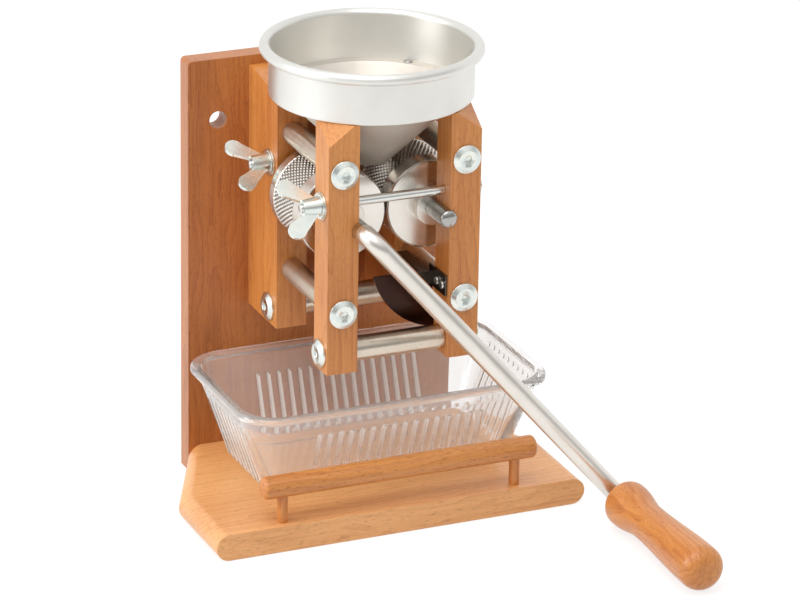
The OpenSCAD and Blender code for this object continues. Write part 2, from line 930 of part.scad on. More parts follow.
// Outline of the dish with rounded corners, narrowed by inset on every side
module dish_outline(inset) {
    r = max(4, dish_corner - inset * 0.6);
    x = dish_l / 2 - inset - r;
    y = dish_w / 2 - inset - r;
    for (sx = [-1, 1], sy = [-1, 1])
        translate([sx * x, sy * y])
            circle(r = r, $fn = 32);
    square([2 * x + 2 * r, 2 * y], center = true);
    square([2 * x, 2 * y + 2 * r], center = true);
}

// Solid with the dish's sloping sides: inset at the bottom, in at the top, from z0 to z1
module dish_body(low, top, z0, z1) {
    round_h = 8;
    hull() {
        translate([0, 0, z0])
            linear_extrude(eps)
                dish_outline(low + 6);
        translate([0, 0, z0 + round_h])
            linear_extrude(eps)
                dish_outline(low - (low - top) * round_h / (z1 - z0));
        translate([0, 0, z1 - eps])
            linear_extrude(eps)
                dish_outline(top);
    }
}

module glass_dish() {
    color(glass)
        translate([dish_shift, dish_y, base_t + rest_gap])
            difference() {
                union() {
                    dish_body(dish_slope, bead_w, 0, dish_h);
                    translate([0, 0, dish_h - bead_h])
                        linear_extrude(bead_h)
                            dish_outline(0);
                }
                dish_body(dish_slope + glass_t, bead_w + glass_t, glass_t + 1, dish_h + 1);
            }
}

base_board();
backboard();
front_left_post();
front_right_post();
rear_left_post();
rear_right_post();
rail_bar();
rail_pegs();
base_screws();
post_screws();
upper_left_rod();
upper_right_rod();
lower_left_rod();
lower_right_rod();
front_cross_rod();
rear_cross_rod();
side_rod_bolts();
cross_rod_bolts();
front_clamp_bolt();
rear_clamp_bolt();
clamp_washers();
front_wing_nut();
rear_wing_nut();
drive_roller();
drive_shaft();
driven_roller();
driven_shaft();
crank_arm();
grip_spindle();
crank_handle();
guard_plate();
guard_bracket();
guard_screws();
funnel_band();
funnel_cone();
funnel_rivets();
glass_dish();
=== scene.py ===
"""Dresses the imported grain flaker: beech boards and posts, knurled steel rollers, zinc fasteners,
a white-metal funnel and a ribbed glass dish. Lengths are in metres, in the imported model's frame."""

import json
import math

import bmesh
import bpy
import numpy as np
from mathutils import Matrix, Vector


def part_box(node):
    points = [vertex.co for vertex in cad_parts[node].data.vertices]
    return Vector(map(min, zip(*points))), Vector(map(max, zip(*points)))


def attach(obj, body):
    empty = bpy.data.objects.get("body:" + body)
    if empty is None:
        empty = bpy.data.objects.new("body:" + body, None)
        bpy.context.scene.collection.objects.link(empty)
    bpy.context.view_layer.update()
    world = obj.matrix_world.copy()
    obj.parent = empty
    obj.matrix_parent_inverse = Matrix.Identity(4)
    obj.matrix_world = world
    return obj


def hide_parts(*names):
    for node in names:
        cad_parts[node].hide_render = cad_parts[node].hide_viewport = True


bl_info = {
    "name": "Grain flaker",
    "version": (1, 0, 0),
    "blender": (4, 5, 0),
    "location": "View3D > Sidebar > Flaker",
    "description": "Builds the visible pieces of a hand-cranked grain flaker around its packed frame",
    "category": "Object",
}

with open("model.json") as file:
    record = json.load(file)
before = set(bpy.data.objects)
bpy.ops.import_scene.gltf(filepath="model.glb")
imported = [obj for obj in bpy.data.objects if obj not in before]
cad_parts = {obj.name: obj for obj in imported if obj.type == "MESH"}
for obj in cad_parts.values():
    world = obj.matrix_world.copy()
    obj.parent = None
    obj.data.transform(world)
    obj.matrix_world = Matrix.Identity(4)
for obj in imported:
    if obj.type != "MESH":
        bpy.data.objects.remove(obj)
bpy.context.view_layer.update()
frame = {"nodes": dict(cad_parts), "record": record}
MM = 0.001
SKIN = 0.001 * MM
BODIES = frame["record"]["behaviour"]["bodies"]
BODY_OF = {node: body for body, nodes in BODIES.items() for node in nodes}
AXES = {"x": np.array([1.0, 0, 0]), "y": np.array([0, 1.0, 0]), "z": np.array([0, 0, 1.0])}


def low(node):
    """Lowest corner of a CAD node."""
    return np.array(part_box(node)[0])


def high(node):
    """Highest corner of a CAD node."""
    return np.array(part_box(node)[1])


def middle(node):
    """Centre of a CAD node's box."""
    return (low(node) + high(node)) / 2


def colour_of(red, green, blue):
    """Linear colour of an 8-bit screen colour: ((c + 0.055) / 1.055) to the power 2.4."""
    screen = np.array([red, green, blue]) / 255
    linear = np.where(screen <= 0.04045, screen / 12.92, ((screen + 0.055) / 1.055) ** 2.4)
    return (*[float(c) for c in linear], 1.0)


# Meshes

def finished(name, points, faces, node, smooth=True):
    """Object of a mesh whose doubles are merged and whose faces point outwards, in place of a CAD node."""
    mesh = bpy.data.meshes.new(name)
    mesh.from_pydata(np.asarray(points).reshape(-1, 3).tolist(), [], faces)
    shape = bmesh.new()
    shape.from_mesh(mesh)
    bmesh.ops.remove_doubles(shape, verts=shape.verts, dist=1e-7)
    bmesh.ops.recalc_face_normals(shape, faces=shape.faces)
    shape.to_mesh(mesh)
    shape.free()
    mesh.polygons.foreach_set("use_smooth", [smooth] * len(mesh.polygons))
    piece = bpy.data.objects.new(name, mesh)
    bpy.context.scene.collection.objects.link(piece)
    return stand_for(piece, node)


def stand_for(piece, node):
    """The piece takes the place and the body of a CAD node."""
    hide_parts(node)
    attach(piece, BODY_OF[node])
    return piece


def grid_faces(rows, columns, start=0, close_rows=False, close_columns=True, caps=False):
    """Quads between neighbours of a rows by columns grid, with its ends joined or capped where asked."""
    index = np.arange(rows * columns).reshape(rows, columns) + start
    ends = [index[0].tolist()[::-1], index[-1].tolist()] if caps else []
    if close_rows:
        index = np.vstack([index, index[:1]])
    if close_columns:
        index = np.hstack([index, index[:, :1]])
    corners = [index[:-1, :-1], index[:-1, 1:], index[1:, 1:], index[1:, :-1]]
    return np.stack(corners, axis=-1).reshape(-1, 4).tolist() + ends


def rounded_path(corners, radii, steps=6):
    """Polyline with each inner corner replaced by an arc of its radius: the arc's centre lies on the
    corner's bisector at radius / sin(half angle), and the arc touches both legs."""
    corners = [np.array(c, float) for c in corners]
    path = [corners[0]]
    for before, corner, after, radius in zip(corners, corners[1:], corners[2:], radii):
        to_before = (before - corner) / np.linalg.norm(before - corner)
        to_after = (after - corner) / np.linalg.norm(after - corner)
        half = math.acos(np.clip(to_before @ to_after, -1, 1)) / 2
        if radius <= 0 or half > math.radians(89.5):
            path.append(corner)
            continue
        bisector = (to_before + to_after) / np.linalg.norm(to_before + to_after)
        centre = corner + bisector * radius / math.sin(half)
        first = corner + to_before * radius / math.tan(half) - centre
        last = corner + to_after * radius / math.tan(half) - centre
        sweep = math.pi - 2 * half
        for share in np.linspace(0, 1, steps + 1):
            point = math.sin((1 - share) * sweep) * first + math.sin(share * sweep) * last
            path.append(centre + point / math.sin(sweep))
    path.append(corners[-1])
    return np.array(path)


def turned(profile, centre, axis, steps=128):
    """Points of a turned shape: at turn a and profile place (r, t) the point is
    centre + t * axis + r * (cos a * side + sin a * up), in one row for each profile place."""
    axis = AXES[axis] if isinstance(axis, str) else np.array(axis, float)
    side = np.cross(axis, AXES["z"] if abs(axis[2]) < 0.9 else AXES["x"])
    side /= np.linalg.norm(side)
    up = np.cross(axis, side)
    angle = np.linspace(0, 2 * math.pi, steps, endpoint=False)
    ring = np.cos(angle)[:, None] * side + np.sin(angle)[:, None] * up
    profile = np.asarray(profile, float)
    radius = profile[:, 0]
    if profile.shape[1] > 2:
        radius = profile[:, 2:]
    else:
        radius = np.repeat(radius[:, None], steps, axis=1)
    return np.array(centre) + profile[:, 1][:, None, None] * axis + radius[..., None] * ring[None]


def held(path, gap):
    """Path with a point gap away from both ends of each long leg, so that smooth shading stays flat there."""
    points = [path[0]]
    for start, end in zip(path, path[1:]):
        leg = np.linalg.norm(end - start)
        if leg > 3 * gap:
            points += [start + (end - start) * gap / leg, end - (end - start) * gap / leg]
        points.append(end)
    return np.array(points)


def softened(name, node, width, segments=2, angle=25):
    """Copy of a CAD node with its triangles joined into flat faces and its edges rounded by width."""
    mesh = frame["nodes"][node].data.copy()
    mesh.name = name
    shape = bmesh.new()
    shape.from_mesh(mesh)
    bmesh.ops.remove_doubles(shape, verts=shape.verts, dist=1e-6)
    bmesh.ops.dissolve_limit(shape, angle_limit=math.radians(0.3), verts=shape.verts, edges=shape.edges)
    bmesh.ops.recalc_face_normals(shape, faces=shape.faces)
    shape.to_mesh(mesh)
    shape.free()
    mesh.polygons.foreach_set("use_smooth", [True] * len(mesh.polygons))
    piece = bpy.data.objects.new(name, mesh)
    bpy.context.scene.collection.objects.link(piece)
    bevel = piece.modifiers.new("Edges", "BEVEL")
    bevel.width = width
    bevel.segments = segments
    bevel.limit_method = "ANGLE"
    bevel.angle_limit = math.radians(angle)
    bevel.miter_outer = "MITER_ARC"
    normals = piece.modifiers.new("Normals", "WEIGHTED_NORMAL")
    normals.keep_sharp = True
    normals.weight = 80
    return stand_for(piece, node)


# Materials

class Finish:
    """Node tree of one material or world. add() makes a node and sets or joins its inputs."""

    def __init__(self, name, owner=None):
        self.material = owner or bpy.data.materials.new(name)
        self.material.use_nodes = True
        self.tree = self.material.node_tree
        self.tree.nodes.clear()
        self.place = self.add("ShaderNodeTexCoord").outputs["Object"]

    def add(self, kind, inputs=None, **settings):
        node = self.tree.nodes.new(kind)
        for key, value in settings.items():
            setattr(node, key, value)
        for key, value in (inputs or {}).items():
            if isinstance(value, bpy.types.NodeSocket):
                self.tree.links.new(value, node.inputs[key])
            else:
                node.inputs[key].default_value = value
        return node

    def sum(self, operation, first, second=0.0, third=0.0):
        inputs = {0: first, 1: second, 2: third}
        return self.add("ShaderNodeMath", inputs, operation=operation).outputs[0]

    def vector(self, operation, first, second=(0, 0, 0)):
        return self.add("ShaderNodeVectorMath", {0: first, 1: second}, operation=operation).outputs[0]

    def noise(self, place, scale=1.0, detail=2.0, roughness=0.5):
        inputs = {"Vector": place, "Scale": scale, "Detail": detail, "Roughness": roughness}
        return self.add("ShaderNodeTexNoise", inputs).outputs["Fac"]

    def between(self, value, low_end, high_end, to_low=0.0, to_high=1.0):
        """The value carried from one range to another and kept inside it, with soft ends."""
        inputs = {0: value, 1: low_end, 2: high_end, 3: to_low, 4: to_high}
        return self.add("ShaderNodeMapRange", inputs, interpolation_type="SMOOTHSTEP").outputs[0]

    def mix(self, share, first, second, blend="MIX"):
        node = self.add("ShaderNodeMix", data_type="RGBA", blend_type=blend)
        for key, value in ((0, share), (6, first), (7, second)):
            if isinstance(value, bpy.types.NodeSocket):
                self.tree.links.new(value, node.inputs[key])
            else:
                node.inputs[key].default_value = value
        return node.outputs[2]

    def shine(self, **sockets):
        """Ends the tree in a Principled shader."""
        self.add("ShaderNodeOutputMaterial", {"Surface": self.principled(**sockets)})
        return self.material

    def principled(self, height=None, depth=0.0, strength=1.0, **sockets):
        """Principled shader, with the height as bump of the given depth."""
        names = {
            "colour": "Base Color", "metal": "Metallic", "rough": "Roughness", "ior": "IOR",
            "clear": "Transmission Weight", "coat": "Coat Weight", "coat_rough": "Coat Roughness",
            "stretch": "Anisotropic", "along": "Tangent", "specular": "Specular IOR Level",
        }
        inputs = {names[key]: value for key, value in sockets.items()}
        if height is not None:
            bump = {"Height": height, "Distance": depth, "Strength": strength}
            inputs["Normal"] = self.add("ShaderNodeBump", bump).outputs[0]
        return self.add("ShaderNodeBsdfPrincipled", inputs).outputs[0]


GRAIN_TURN = {"x": (0, math.pi / 2, 0), "y": (math.pi / 2, 0, 0), "z": (0, 0, 0)}


def beech(name, grain, light, dark, pith, slide=0.0, fleck=1.0):
    """Beech with its grain along one axis. Rings lie round a pith beside the piece, wavering along the
    grain; rays show as short dark flecks; fibres and pores run along the grain."""
    f = Finish(name)
    mapping = {"Vector": f.place, "Location": (slide, 0.6 * slide, 1.7 * slide), "Rotation": GRAIN_TURN[grain]}
    place = f.add("ShaderNodeMapping", mapping).outputs[0]
    slow = f.vector("MULTIPLY", place, (14, 14, 2.4))
    waver = f.vector("SUBTRACT", f.add("ShaderNodeTexNoise", {"Vector": slow, "Detail": 2.0}).outputs["Color"], (0.5, 0.5, 0.5))
    bent = f.vector("ADD", place, f.vector("MULTIPLY", waver, (0.02, 0.02, 0)))
    across = f.vector("MULTIPLY", f.vector("SUBTRACT", bent, (*pith, 0)), (1, 1, 0.02))
    radius = f.add("ShaderNodeVectorMath", {0: across}, operation="LENGTH").outputs["Value"]
    ring = f.sum("FRACT", f.sum("MULTIPLY", radius, 1 / 0.0042))
    late = f.sum("POWER", ring, 2.2)
    fibre = f.noise(f.vector("MULTIPLY", place, (2600, 2600, 45)), detail=3.0)
    streak = f.noise(f.vector("MULTIPLY", place, (420, 420, 5)), detail=2.0)
    blotch = f.noise(f.vector("MULTIPLY", place, (22, 22, 7)), detail=3.0)
    ray = f.noise(f.vector("MULTIPLY", place, (1350, 1350, 210)), detail=1.0, roughness=0.4)
    ray = f.between(ray, 0.60, 0.70)
    pore = f.between(f.noise(f.vector("MULTIPLY", place, (5200, 5200, 330)), detail=0.0), 0.66, 0.78)
    tone = f.sum("ADD", f.sum("MULTIPLY", late, 0.30), f.sum("MULTIPLY", streak, 0.66))
    tone = f.sum("ADD", tone, f.sum("MULTIPLY", f.between(blotch, 0.3, 0.7), 0.36))
    tone = f.sum("SUBTRACT", f.sum("ADD", tone, f.sum("MULTIPLY", fibre, 0.26)), 0.38)
    wood = f.mix(f.between(tone, 0.0, 1.0), light, dark)
    deep = tuple(c * k for c, k in zip(dark[:3], (0.52, 0.42, 0.36))) + (1.0,)
    wood = f.mix(f.sum("MULTIPLY", ray, 0.30 * fleck), wood, deep)
    wood = f.mix(f.sum("MULTIPLY", pore, 0.18 * fleck), wood, deep)
    rough = f.between(f.sum("ADD", fibre, f.sum("MULTIPLY", ray, -0.25)), 0.2, 0.8, 0.46, 0.34)
    relief = f.sum("SUBTRACT", f.sum("MULTIPLY", fibre, 0.5), f.sum("ADD", ray, f.sum("MULTIPLY", pore, 0.6)))
    return f.shine(colour=wood, rough=rough, coat=0.35, coat_rough=0.34, height=relief, depth=0.00012, strength=0.3)


def around(f, centre, axis):
    """Distance from an axis, place along it, and the way across the marks that a lathe leaves: outwards on a
    face and along the axis on a barrel."""
    centred = f.vector("SUBTRACT", f.place, tuple(centre))
    along = f.add("ShaderNodeVectorMath", {0: centred, 1: tuple(AXES[axis])}, operation="DOT_PRODUCT")
    along = along.outputs["Value"]
    flat = f.vector("MULTIPLY", centred, tuple(1 - AXES[axis]))
    radius = f.add("ShaderNodeVectorMath", {0: flat}, operation="LENGTH").outputs["Value"]
    across = f.vector("ADD", f.vector("NORMALIZE", flat), tuple(AXES[axis]))
    ways = {"vector_type": "VECTOR", "convert_from": "OBJECT", "convert_to": "WORLD"}
    across = f.add("ShaderNodeVectorTransform", {"Vector": across}, **ways).outputs[0]
    return radius, along, across


def turned_metal(name, centre, axis, colour, rough, lines=2600, depth=0.00002, wear=0.5, stretch=0.6, knurl=None):
    """Metal off a lathe: fine rings round the axis on faces and barrels, which spread its gloss across them,
    with faint stains and rubbed spots. Between the two radii of a knurl the grooves are painted darker, as shade inside
    them."""
    f = Finish(name)
    radius, along, across = around(f, centre, axis)
    rings = f.add("ShaderNodeCombineXYZ", {0: f.sum("MULTIPLY", radius, lines), 1: f.sum("MULTIPLY", along, lines)})
    marks = f.noise(rings.outputs[0], detail=3.0)
    stain = f.noise(f.place, scale=60.0, detail=4.0)
    dull = tuple(c * 0.72 for c in colour[:3]) + (1.0,)
    tint = f.mix(f.sum("MULTIPLY", f.between(stain, 0.45, 0.75), wear), colour, dull)
    if knurl:
        # Painted shade: over the knurl the grooves are darkened towards 12 % of the colour, standing in for the shade
        # inside them.
        deep = f.sum("MULTIPLY", f.between(radius, knurl[0] - 0.1 * MM, knurl[0]), f.between(radius, *knurl, 0.75, 0))
        tint = f.mix(deep, tint, tuple(c * 0.12 for c in colour[:3]) + (1.0,))
    spread = f.sum("ADD", f.sum("MULTIPLY", marks, 0.16), f.sum("MULTIPLY", stain, 0.10))
    spread = f.sum("ADD", spread, rough - 0.13)
    return f.shine(colour=tint, metal=1.0, rough=spread, stretch=stretch, along=across,
                   height=marks, depth=depth, strength=0.5)


def drawn_metal(name, stretch, colour, rough, wear=0.5):
    """Drawn or ground bar: fine scratches stretched by a scale in each direction, and faint stains."""
    f = Finish(name)
    scratch = f.noise(f.vector("MULTIPLY", f.place, stretch), detail=3.0)
    stain = f.noise(f.place, scale=45.0, detail=4.0)
    dull = tuple(c * 0.70 for c in colour[:3]) + (1.0,)
    tint = f.mix(f.sum("MULTIPLY", f.between(stain, 0.42, 0.72), wear), colour, dull)
    spread = f.sum("ADD", f.sum("MULTIPLY", scratch, 0.20), f.sum("ADD", f.sum("MULTIPLY", stain, 0.10), rough - 0.15))
    return f.shine(colour=tint, metal=1.0, rough=spread, height=scratch, depth=0.00003, strength=0.35)


def zinc_plate(name):
    """Bright zinc plate: pale, with faint straw-coloured and blue patches and a fine pitted skin."""
    f = Finish(name)
    patch = f.noise(f.place, scale=190.0, detail=3.0)
    skin = f.noise(f.place, scale=2600.0, detail=2.0)
    warm, cool = colour_of(232, 235, 227), colour_of(220, 227, 224)
    tint = f.mix(f.between(patch, 0.35, 0.65), warm, cool)
    rough = f.sum("ADD", f.sum("MULTIPLY", patch, 0.14), f.sum("MULTIPLY", skin, 0.12))
    rough = f.sum("ADD", rough, 0.14)
    return f.shine(colour=tint, metal=1.0, rough=rough, height=skin, depth=0.00002, strength=0.3)


# Sizes and colours that a user would change

class FlakerWood(bpy.types.PropertyGroup):
    post_light: bpy.props.FloatVectorProperty(
        name="Posts, light", description="Light wood of the posts, rail and handle", subtype="COLOR", size=4,
        min=0, max=1, default=colour_of(220, 146, 74))
    post_dark: bpy.props.FloatVectorProperty(
        name="Posts, dark", description="Dark wood of the posts, rail and handle", subtype="COLOR", size=4,
        min=0, max=1, default=colour_of(184, 102, 38))
    base_light: bpy.props.FloatVectorProperty(
        name="Base, light", description="Light wood of the base board", subtype="COLOR", size=4,
        min=0, max=1, default=colour_of(244, 180, 116))
    base_dark: bpy.props.FloatVectorProperty(
        name="Base, dark", description="Dark wood of the base board", subtype="COLOR", size=4,
        min=0, max=1, default=colour_of(214, 140, 76))
    board_light: bpy.props.FloatVectorProperty(
        name="Backboard, light", description="Light wood of the backboard", subtype="COLOR", size=4,
        min=0, max=1, default=colour_of(194, 120, 58))
    board_dark: bpy.props.FloatVectorProperty(
        name="Backboard, dark", description="Dark wood of the backboard", subtype="COLOR", size=4,
        min=0, max=1, default=colour_of(156, 84, 32))
    edge: bpy.props.FloatProperty(
        name="Edge rounding", description="Rounding of the sanded edges", subtype="DISTANCE", unit="LENGTH",
        min=0.0002, max=0.003, default=0.0012)
    base_edge: bpy.props.FloatProperty(
        name="Base edge rounding", description="Rounding of the base board's front edges", subtype="DISTANCE",
        unit="LENGTH", min=0.0005, max=0.004, default=0.0014)


class FlakerMetal(bpy.types.PropertyGroup):
    steel: bpy.props.FloatVectorProperty(
        name="Steel", description="Colour of the stainless steel", subtype="COLOR", size=4,
        min=0, max=1, default=colour_of(200, 197, 190))
    rods: bpy.props.FloatVectorProperty(
        name="Rods", description="Colour of the side and cross rods", subtype="COLOR", size=4,
        min=0, max=1, default=colour_of(214, 202, 186))
    bright: bpy.props.FloatVectorProperty(
        name="Bright steel", description="Colour of the rollers and the crank arm", subtype="COLOR", size=4,
        min=0, max=1, default=colour_of(232, 227, 219))
    cone: bpy.props.FloatVectorProperty(
        name="Cone", description="Colour of the funnel's cone", subtype="COLOR", size=4,
        min=0, max=1, default=colour_of(219, 212, 203))
    dark: bpy.props.FloatVectorProperty(
        name="Dark steel", description="Colour of the driven shaft and the rivets", subtype="COLOR", size=4,
        min=0, max=1, default=colour_of(176, 174, 170))
    aluminium: bpy.props.FloatVectorProperty(
        name="Funnel band", description="Colour of the funnel's white metal band", subtype="COLOR", size=4,
        min=0, max=1, default=colour_of(230, 229, 224))
    knurl_pitch: bpy.props.FloatProperty(
        name="Knurl pitch", description="Distance between the knurl's grooves", subtype="DISTANCE",
        unit="LENGTH", min=0.001, max=0.003, default=0.00247)
    knurl_depth: bpy.props.FloatProperty(
        name="Knurl depth", description="Depth of the knurl's grooves", subtype="DISTANCE", unit="LENGTH",
        min=0.0002, max=0.0012, default=0.00085)


class FlakerDish(bpy.types.PropertyGroup):
    rib_pitch: bpy.props.FloatProperty(
        name="Rib pitch", description="Distance between the dish's ribs", subtype="DISTANCE", unit="LENGTH",
        min=0.004, max=0.012, default=0.00752)
    rib_height: bpy.props.FloatProperty(
        name="Rib height", description="Height of the dish's ribs", subtype="DISTANCE", unit="LENGTH",
        min=0.0003, max=0.0016, default=0.0010)
    long_ribs: bpy.props.IntProperty(
        name="Ribs, long wall", description="Number of ribs on each long wall", min=2, max=16, default=16)
    short_ribs: bpy.props.IntProperty(
        name="Ribs, short wall", description="Number of ribs on each short wall", min=2, max=8, default=8)
    dot_pitch: bpy.props.FloatProperty(
        name="Bead pitch", description="Distance between the small beads below the rim", subtype="DISTANCE",
        unit="LENGTH", min=0.003, max=0.01, default=0.00752)


class FlakerStudio(bpy.types.PropertyGroup):
    lens: bpy.props.FloatProperty(
        name="Lens", description="Focal length of the camera", subtype="DISTANCE_CAMERA", min=50, max=400, default=198)
    key: bpy.props.FloatProperty(
        name="Key light", description="Power of the large overhead light", unit="POWER", min=0, max=200, default=12)
    fill: bpy.props.FloatProperty(
        name="Fill light", description="Power of the light on the left", unit="POWER", min=0, max=200, default=15)


def settings():
    scene = bpy.context.scene
    return scene.flaker_wood, scene.flaker_metal, scene.flaker_dish, scene.flaker_studio


def dressed(piece, material):
    piece.data.materials.clear()
    piece.data.materials.append(material)
    return piece


class FLAKER_OT_boards(bpy.types.Operator):
    """Base board with rounded edges, and the backboard with its wall holes"""
    bl_idname = "flaker.boards"
    bl_label = "Boards"

    def execute(self, context):
        wood = settings()[0]
        base = finished("base", *self.base(high("backboard")[0], 74 * MM), "base_board")
        bevel = base.modifiers.new("Edges", "BEVEL")
        bevel.width = wood.base_edge
        bevel.segments = 3
        bevel.limit_method = "ANGLE"
        bevel.angle_limit = math.radians(50)
        base.modifiers.new("Normals", "WEIGHTED_NORMAL").weight = 80
        dressed(base, beech("beech_base", "x", wood.base_light, wood.base_dark, (0.19, -0.12), 0.31))
        back = softened("back", "backboard", wood.edge, 3)
        dressed(back, beech("beech_back", "z", wood.board_light, wood.board_dark, (0.015, -0.16), 0.77, 1.2))
        return {"FINISHED"}

    def base(self, back_half, taper):
        """Base board with half-round sides: at turn t from its underside the outline lies r (1 - sin t) inside
        the full one, at height r (1 - cos t), where r is half the thickness. The sides are x = half - d, and
        the tapers keep the distance d from the lines that end at the backboard's corners."""
        lowest, highest = low("base_board"), high("base_board")
        radius = (highest[2] - lowest[2]) / 2
        angle = math.atan2(highest[0] - back_half, taper)
        turn = np.linspace(0, math.pi, 19)
        drawn = radius * (1 - np.sin(turn))
        height = np.maximum(lowest[2] + radius * (1 - np.cos(turn)), lowest[2] + SKIN)
        side = highest[0] - drawn
        back = back_half - drawn / math.cos(angle)
        corner = highest[1] - ((side - back_half) * math.cos(angle) + drawn) / math.sin(angle)
        front_y, back_y = np.full(len(turn), lowest[1]), np.full(len(turn), highest[1])
        x = np.stack([side, side, back, -back, -side, -side], axis=1)
        y = np.stack([front_y, corner, back_y, back_y, corner, front_y], axis=1)
        points = np.dstack([x, y, np.repeat(height[:, None], 6, axis=1)])
        return points, grid_faces(*points.shape[:2], caps=True)


class FLAKER_OT_posts(bpy.types.Operator):
    """The four posts, each with its own cut of wood"""
    bl_idname = "flaker.posts"
    bl_label = "Posts"

    def execute(self, context):
        wood = settings()[0]
        cuts = {
            "front_left_post": ((-0.11, -0.02), 0.12), "front_right_post": ((0.13, -0.10), 0.45),
            "rear_left_post": ((-0.02, 0.16), 0.83), "rear_right_post": ((0.12, 0.12), 1.21),
        }
        for node, (pith, slide) in cuts.items():
            piece = softened("dressed_" + node, node, wood.edge, 3)
            dressed(piece, beech("beech_" + node, "z", wood.post_light, wood.post_dark, pith, slide))
        return {"FINISHED"}


class FLAKER_OT_rail(bpy.types.Operator):
    """The round rail on its two pegs"""
    bl_idname = "flaker.rail"
    bl_label = "Rail"

    def execute(self, context):
        wood = settings()[0]
        rail = softened("dish_rail", "rail_bar", 0.4 * MM)
        dressed(rail, beech("beech_rail", "x", wood.post_light, wood.post_dark, (0.03, -0.07), 0.52, 1.7))
        pegs = softened("dish_rail_pegs", "rail_pegs", 0.3 * MM)
        dressed(pegs, beech("beech_pegs", "z", wood.post_light, wood.post_dark, (0.02, -0.09), 0.66))
        return {"FINISHED"}


class FLAKER_OT_rods(bpy.types.Operator):
    """The four side rods and the two cross rods"""
    bl_idname = "flaker.rods"
    bl_label = "Rods"

    def execute(self, context):
        warm = settings()[1].rods
        for node in ("upper_left_rod", "upper_right_rod", "lower_left_rod", "lower_right_rod"):
            metal = turned_metal("steel_" + node, middle(node), "y", warm, 0.30)
            dressed(softened("dressed_" + node, node, 0.3 * MM), metal)
        for node in ("front_cross_rod", "rear_cross_rod"):
            metal = turned_metal("steel_" + node, middle(node), "x", warm, 0.30)
            dressed(softened("dressed_" + node, node, 0.6 * MM), metal)
        return {"FINISHED"}


class FLAKER_OT_bolts(bpy.types.Operator):
    """Rod bolts, washers and the small and hidden screws"""
    bl_idname = "flaker.bolts"
    bl_label = "Bolts and screws"

    def execute(self, context):
        zinc = zinc_plate("zinc_bolts")
        left, right = low("front_left_post"), high("front_right_post")
        side_rods = ("upper_left_rod", "upper_right_rod", "lower_left_rod", "lower_right_rod")
        places = [((middle(rod)[0], left[1], middle(rod)[2]), (0, -1, 0)) for rod in side_rods]
        depth = high("front_left_post")[1] - left[1]
        self.heads("side_rod_bolts", places, left[1] - low("side_rod_bolts")[1], depth, zinc)
        cross_rods = [middle(rod) for rod in ("front_cross_rod", "rear_cross_rod")]
        places = [((x, rod[1], rod[2]), (way, 0, 0)) for rod in cross_rods for x, way in ((left[0], -1), (right[0], 1))]
        depth = high("front_left_post")[0] - left[0]
        self.heads("cross_rod_bolts", places, left[0] - low("cross_rod_bolts")[0], depth, zinc)
        dressed(softened("dressed_washers", "clamp_washers", 0.2 * MM), zinc)
        dressed(softened("dressed_guard_screws", "guard_screws", 0.4 * MM, 3), zinc)
        for node in ("base_screws", "post_screws"):
            dressed(frame["nodes"][node], zinc)
        return {"FINISHED"}

    def heads(self, node, places, tall, depth, zinc):
        """All bolts of a node as one piece. Each stands at its seat and points its head outwards."""
        bolts = [self.bolt(seat, outward, tall, depth) for seat, outward in places]
        rows, steps = bolts[0].shape[:2]
        faces = [face for i in range(len(bolts)) for face in grid_faces(rows, steps, start=i * rows * steps)]
        dressed(finished("dressed_" + node, np.array(bolts), faces, node), zinc)

    def bolt(self, seat, outward, tall, depth, steps=72):
        """Bolt turned about its axis: shank, flat underside, a ring that slopes up to a flat top, and a socket
        whose radius at turn a is half its width across flats / cos(a mod 60 - 30)."""
        shank, grip, rim, flat, socket, deep = 3 * MM, 15 * MM, 9.5 * MM, 6.5 * MM, 2.5 * MM, 1.7 * MM
        outside = rounded_path(
            [(shank, -depth - grip), (shank, 0), (rim, 0), (rim, 0.45 * tall), (flat, tall), (socket, tall)],
            [0, 0.2 * MM, 0.4 * MM, 0.3 * MM], 3)[:-1]
        outside = held(outside, 0.25 * MM)
        lip = 0.15 * MM
        inside = np.array([(socket + lip, tall), (socket, tall - lip), (socket, tall - deep + lip),
                           (socket - lip, tall - deep)])
        turn = np.linspace(0, 2 * math.pi, steps, endpoint=False)
        hexagon = 1 / np.cos(turn % (math.pi / 3) - math.pi / 6)
        first, last = np.zeros((1, steps)), np.zeros((1, steps))
        rings = np.vstack([first, np.outer(outside[:, 0], np.ones(steps)), np.outer(inside[:, 0], hexagon), last])
        along = np.concatenate([outside[:1, 1], outside[:, 1], inside[:, 1], [tall - deep - socket / 3]])
        return turned(np.column_stack([rings[:, 0], along, rings]), seat, outward, steps)


